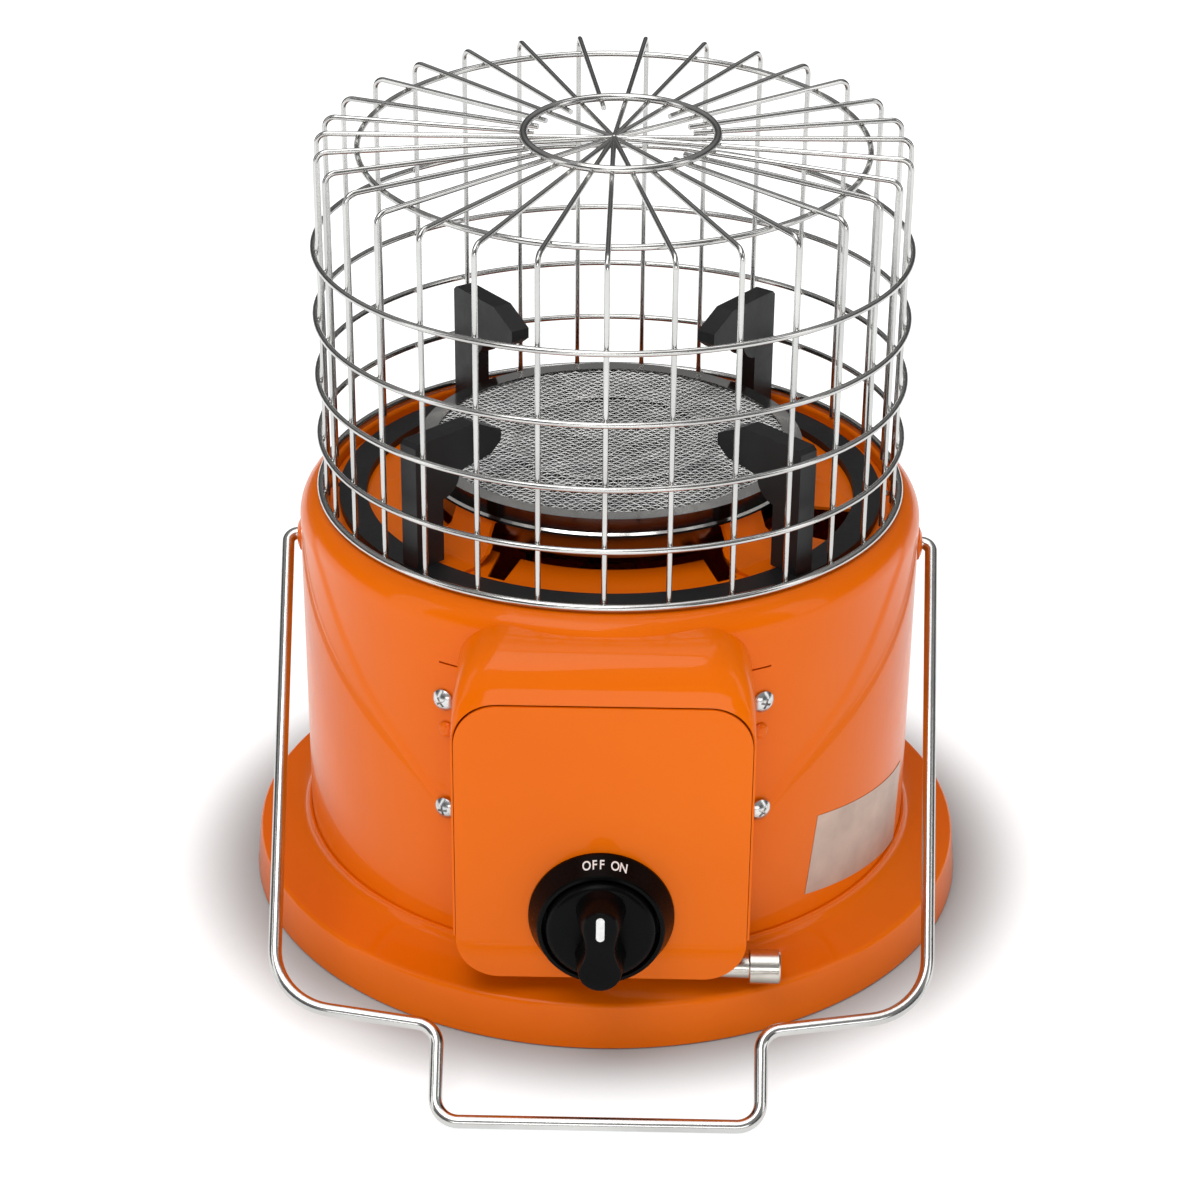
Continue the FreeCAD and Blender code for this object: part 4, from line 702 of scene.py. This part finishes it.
# ---------------------------------------------------------------- hood that joins the front plate to the drum
def hood_piece():
    fy = -134.6
    # depth behind the plate's face, half width, top, corner radius
    secs = [(0.5, 53.5, 139.95, 16.4), (1.7, 53.4, 143.1, 16.6), (3.8, 53.3, 147.3, 17.1), (9.0, 53.0, 153.6, 18.2), (17.0, 52.5, 158.2, 19.4), (32.0, 51.9, 162.2, 20.6)]

    def section(t):
        u = t * (len(secs) - 1)
        i = min(int(u), len(secs) - 2)
        f = u - i
        p0, p1, p2, p3 = (secs[max(i - 1, 0)], secs[i], secs[i + 1], secs[min(i + 2, len(secs) - 1)])
        return [0.5 * (2 * b + (c - a) * f + (2 * a - 5 * b + 4 * c - d) * f * f + (3 * b - a - 3 * c + d) * f ** 3) for a, b, c, d in zip(p0, p1, p2, p3)]

    params = [(0, k / 12) for k in range(12)] + [(1, k / 16) for k in range(16)] + [(2, k / 20) for k in range(20)] + [(3, k / 16) for k in range(16)] + [(4, k / 12) for k in range(13)]

    def point(s, t):
        d, h, zt, r = section(t)
        kind, f = s
        if kind == 0:
            x, z = -h, 44.0 + (zt - r - 44.0) * f
        elif kind == 1:
            a = math.pi - math.pi / 2 * f
            x, z = -h + r + r * math.cos(a), zt - r + r * math.sin(a)
        elif kind == 2:
            x, z = (-h + r) + 2 * (h - r) * f, zt
        elif kind == 3:
            a = math.pi / 2 * (1 - f)
            x, z = h - r + r * math.cos(a), zt - r + r * math.sin(a)
        else:
            x, z = h, 44.0 + (zt - r - 44.0) * (1 - f)
        return Vector((x, fy + d, z))

    def inside(p):
        r = math.hypot(p.x, p.y)
        if p.z <= 154.3:
            return r < DRUM_R - 0.35
        return math.hypot(max(r - DRUM_R + 10.0, 0.0), p.z - 154.3) < 9.65

    rows = 44
    ends = []
    for s in params:
        lo_t, hi_t = 0.0, 1.0
        for k in range(401):
            if inside(point(s, k / 400)):
                hi_t = k / 400
                break
            lo_t = k / 400
        for _ in range(14):
            mid_t = (lo_t + hi_t) / 2
            if inside(point(s, mid_t)):
                hi_t = mid_t
            else:
                lo_t = mid_t
        ends.append(hi_t)
    cols = len(params)
    grid = [[point(s, e * i / rows) for s, e in zip(params, ends)] for i in range(rows + 1)]
    inner = []
    for i in range(rows + 1):
        row = []
        for j in range(cols):
            du = grid[i][min(j + 1, cols - 1)] - grid[i][max(j - 1, 0)]
            dv = grid[min(i + 1, rows)][j] - grid[max(i - 1, 0)][j]
            nrm = du.cross(dv).normalized()
            if nrm.dot(grid[i][j] - Vector((0, grid[i][j].y + 6.0, 95.0))) < 0:
                nrm = -nrm
            row.append(grid[i][j] - nrm * 0.75)
        inner.append(row)
    verts = [tuple(p) for row in grid for p in row] + [tuple(p) for row in inner for p in row]
    half = (rows + 1) * cols
    faces = []
    for i in range(rows):
        for j in range(cols - 1):
            a = i * cols + j
            faces.append((a, a + 1, a + cols + 1, a + cols))
            faces.append((half + a + cols, half + a + cols + 1, half + a + 1, half + a))
    for j in range(cols - 1):
        faces.append((j + 1, j, half + j, half + j + 1))
        b = rows * cols + j
        faces.append((b, b + 1, half + b + 1, half + b))
    for i in range(rows):
        a = i * cols
        faces.append((a, a + cols, half + a + cols, half + a))
        b = i * cols + cols - 1
        faces.append((b + cols, b, half + b, half + b + cols))
    ob = new_mesh("hood_pressing", verts, faces, M["orange_enamel"], "heater")
    fix_normals(ob)
    smooth(ob, 40)
    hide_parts("control_housing")
    return ob


hood_piece()


# ---------------------------------------------------------------- flared base, one turned pressing
def base_piece():
    knots = [(120.1, 27.2), (120.15, 26.4), (121.0, 24.6), (122.8, 23.0), (127.3, 21.0), (132.6, 19.55), (137.3, 18.5)]
    outer = [(119.9, 27.6)]
    for i in range(len(knots) - 1):
        p0, p1, p2, p3 = knots[max(i - 1, 0)], knots[i], knots[i + 1], knots[min(i + 2, len(knots) - 1)]
        for k in range(6):
            f = k / 6
            outer.append(tuple(0.5 * (2 * b + (c - a) * f + (2 * a - 5 * b + 4 * c - d) * f * f + (3 * b - a - 3 * c + d) * f ** 3)
                               for a, b, c, d in zip(p0, p1, p2, p3)))
    for k in range(8):
        a = math.radians(80.9 - 74.4 * k / 7)
        outer.append((137.52 + 2.4 * math.cos(a), 16.03 + 2.4 * math.sin(a)))
    outer += [(140.2, 13.2), (140.8, 8.0), (141.38, 2.0), (141.5, 0.8), (141.3, 0.45), (140.9, 0.4), (140.3, 0.4), (140.18, 1.25), (131.0, 1.25), (131.0, 2.45),
              (140.06, 2.45), (138.7, 16.0), (137.7, 17.2), (127.0, 19.8), (121.3, 22.4), (118.9, 26.4), (118.9, 27.5), (119.2, 27.6)]
    n = 480
    verts = [(r * math.cos(2 * math.pi * k / n), r * math.sin(2 * math.pi * k / n), z) for r, z in outer for k in range(n)]
    m = len(outer)
    faces = []
    for i in range(m):
        for k in range(n):
            a, b = i * n + k, i * n + (k + 1) % n
            c, d = ((i + 1) % m) * n + (k + 1) % n, ((i + 1) % m) * n + k
            faces.append((a, b, c, d))
    ob = new_mesh("base_pressing", verts, faces, M["orange_enamel"], "heater")
    fix_normals(ob)
    smooth(ob, 35)
    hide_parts("base_skirt")
    return ob


base_piece()


# ---------------------------------------------------------------- return spring, modelled as a fixed coil; in the real valve it shortens as the knob is pushed
def spring_piece():
    verts, faces = [], []
    turns, n, m = 9.6 / 2.05, 150, 10
    for i in range(n + 1):
        t = i / n
        a = 2 * math.pi * turns * t
        c = Vector((4.6 * math.cos(a), -120.0 - 9.6 * t, 54.3 + 4.6 * math.sin(a)))
        rad = Vector((math.cos(a), 0, math.sin(a)))
        tan = Vector((-4.6 * math.sin(a) * 2 * math.pi * turns, -9.6, 4.6 * math.cos(a) * 2 * math.pi * turns)).normalized()
        side = tan.cross(rad).normalized()
        for k in range(m):
            q = 2 * math.pi * k / m
            verts.append(tuple(c + rad * (0.4 * math.cos(q)) + side * (0.4 * math.sin(q))))
    for i in range(n):
        for k in range(m):
            a, b = i * m + k, i * m + (k + 1) % m
            faces.append((a, b, b + m, a + m))
    faces.append(tuple(range(m)))
    faces.append(tuple(n * m + k for k in reversed(range(m))))
    ob = new_mesh("return_spring_coil", verts, faces, M["zinc_steel"], "gas_plug")
    fix_normals(ob)
    smooth(ob, 50)
    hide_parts("spindle_spring")
    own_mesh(ob)
    return ob


spring_piece()


# ---------------------------------------------------------------- guard: weld spots where wires cross
STEPS_R = [12.1, 24.5, 36.3, 48.2, 59.8, 69.8, 80.9, 91.6, 101.9, 113.1, 125.6, 137.2, 149.2, 161.4, 174.3]
STEPS_L = [12.4, 24.4, 36.3, 47.4, 58.3, 69.1, 79.9, 89.8, 98.7, 109.4, 121.8, 133.6, 146.2, 158.7, 171.5]
WIRE_AZ = [-90.3] + [-90.3 + s for s in STEPS_R] + [-90.3 - s for s in STEPS_L]


def weld_spots():
    verts, faces = [], []
    rings = [(261.6, 109.15), (235.5, 109.15), (211.4, 109.15), (187.8, 109.15), (165.95, 109.15)]
    for z, r in rings:
        for az in WIRE_AZ:
            a = math.radians(az)
            c = Vector((r * math.cos(a), r * math.sin(a), z))
            t = Vector((-math.sin(a), math.cos(a), 0))
            radial_ = Vector((math.cos(a), math.sin(a), 0))
            base = len(verts)
            rows, cols = 5, 8
            sx = 1.25 * random.uniform(0.9, 1.1)
            for i in range(rows + 1):
                th = math.pi * i / rows
                for j in range(cols):
                    ph = 2 * math.pi * j / cols
                    v = c + t * (sx * math.sin(th) * math.cos(ph)) + Vector((0, 0, 1)) * (1.2 * math.sin(th) * math.sin(ph)) + radial_ * (0.62 * math.cos(th))
                    verts.append(tuple(v))
            for i in range(rows):
                for j in range(cols):
                    faces.append((base + i * cols + j, base + i * cols + (j + 1) % cols, base + (i + 1) * cols + (j + 1) % cols, base + (i + 1) * cols + j))
    ob = new_mesh("guard_weld_spots", verts, faces, M["chrome_wire"], "guard")
    bm = bmesh.new()
    bm.from_mesh(ob.data)
    bmesh.ops.remove_doubles(bm, verts=bm.verts, dist=1e-6)
    bmesh.ops.recalc_face_normals(bm, faces=bm.faces)
    bm.to_mesh(ob.data)
    bm.free()
    smooth(ob, 80)
    return ob


weld_spots()

# ---------------------------------------------------------------- floor, light, camera
floor_mat = bpy.data.materials.new("studio_floor")
floor_mat.use_nodes = True
ft = floor_mat.node_tree
fb = next(x for x in ft.nodes if x.type == "BSDF_PRINCIPLED")
# The floor's base colour is a little blue-green to cancel the heater's orange bounce light: painted light.
fb.inputs["Base Color"].default_value = (0.48, 0.51, 0.513, 1)
fb.inputs["Roughness"].default_value = 0.7
fb.inputs["Specular IOR Level"].default_value = 0.1
fb.inputs["Emission Color"].default_value = (1, 1, 1, 1)
fco = ft.nodes.new("ShaderNodeTexCoord")
fgr = ft.nodes.new("ShaderNodeVectorMath")
fgr.operation = "LENGTH"
ft.links.new(fco.outputs["Object"], fgr.inputs[0])
# Floor emission by distance from the heater's axis: none just round the base, a painted contact shadow, rising to 0.8
# by 0.186 m; a second ramp adds up to 0.2 further out, painted light that keeps the far floor as bright as the near
# floor.
floor_glow_and_painted_shadow = []
for lo_, hi_, v0, v1 in ((0.138, 0.186, 0.0, 0.80), (0.2, 0.8, 0.0, 0.2)):
    fmr = ft.nodes.new("ShaderNodeMapRange")
    fmr.interpolation_type = "SMOOTHSTEP"
    for nm, v in (("From Min", lo_), ("From Max", hi_), ("To Min", v0), ("To Max", v1)):
        fmr.inputs[nm].default_value = v
    ft.links.new(fgr.outputs["Value"], fmr.inputs["Value"])
    floor_glow_and_painted_shadow.append(fmr.outputs["Result"])
fad = ft.nodes.new("ShaderNodeMath")
fad.operation = "ADD"
ft.links.new(floor_glow_and_painted_shadow[0], fad.inputs[0])
ft.links.new(floor_glow_and_painted_shadow[1], fad.inputs[1])
ft.links.new(fad.outputs["Value"], fb.inputs["Emission Strength"])
bpy.ops.mesh.primitive_plane_add(size=14, location=(0, 0, 0))
floor = bpy.context.active_object
floor.name = "floor"
paint(floor, floor_mat)

world = bpy.data.worlds.new("studio")
scene.world = world
world.use_nodes = True
wt = world.node_tree
bg = next(x for x in wt.nodes if x.type == "BACKGROUND")
wc = wt.nodes.new("ShaderNodeTexCoord")
sep = wt.nodes.new("ShaderNodeSeparateXYZ")
wt.links.new(wc.outputs["Generated"], sep.inputs["Vector"])
wr = wt.nodes.new("ShaderNodeValToRGB")
wr.color_ramp.elements[0].position = 0.0
wr.color_ramp.elements[0].color = (0.30, 0.30, 0.31, 1)
wr.color_ramp.elements[1].position = 0.60
wr.color_ramp.elements[1].color = (0.62, 0.62, 0.62, 1)
mid = wr.color_ramp.elements.new(0.27)
mid.color = (0.10, 0.10, 0.105, 1)
wt.links.new(sep.outputs["Z"], wr.inputs["Fac"])
wt.links.new(wr.outputs["Color"], bg.inputs["Color"])
bg.inputs["Strength"].default_value = 0.5


def area(name, loc, target, size, power, size_y=None, colour=(1, 1, 1)):
    d = bpy.data.lights.new(name, "AREA")
    d.shape = "RECTANGLE" if size_y else "SQUARE"
    d.size = size
    if size_y:
        d.size_y = size_y
    d.energy = power
    d.color = colour
    o = bpy.data.objects.new(name, d)
    scene.collection.objects.link(o)
    o.location = loc
    o.rotation_euler = (Vector(target) - Vector(loc)).to_track_quat("-Z", "Y").to_euler()
    return o


area("key", (-0.35, -0.75, 1.7), (0, 0, 0.12), 1.0, 11.2)
area("top", (0.1, 0.25, 1.9), (0, 0, 0.1), 1.2, 8.0)
area("left", (-1.5, -0.5, 0.7), (0, 0, 0.14), 0.45, 2.9, 1.3)
area("right", (1.5, -0.45, 0.8), (0, 0, 0.14), 0.45, 3.2, 1.3)
area("front", (0.15, -1.9, 0.55), (0, 0, 0.12), 1.5, 6.8, 0.5)

yaw = math.radians(0.8)
pitch = math.radians(27.257)
roll = math.radians(-0.5537)
rt = Vector((math.cos(yaw), math.sin(yaw), 0))
fw = Vector((-math.sin(yaw) * math.cos(pitch), math.cos(yaw) * math.cos(pitch), -math.sin(pitch)))
up = rt.cross(fw)
cx = rt * math.cos(roll) - up * math.sin(roll)
cy = rt * math.sin(roll) + up * math.cos(roll)
cam_data = bpy.data.cameras.new("camera")
cam_data.sensor_width = 36.0
cam_data.lens = 85.976
cam = bpy.data.objects.new("camera", cam_data)
scene.collection.objects.link(cam)
m = Matrix((
    (cx.x, cy.x, -fw.x, 0.0105),
    (cx.y, cy.y, -fw.y, -0.99905),
    (cx.z, cy.z, -fw.z, 0.6271),
    (0, 0, 0, 1)))
cam.matrix_world = m
cam_data.clip_start = 0.05
cam_data.clip_end = 40
scene.camera = cam
scene.view_settings.view_transform = "Standard"
scene.view_settings.look = "None"
scene.view_settings.exposure = 0.0
scene.view_settings.gamma = 1.0
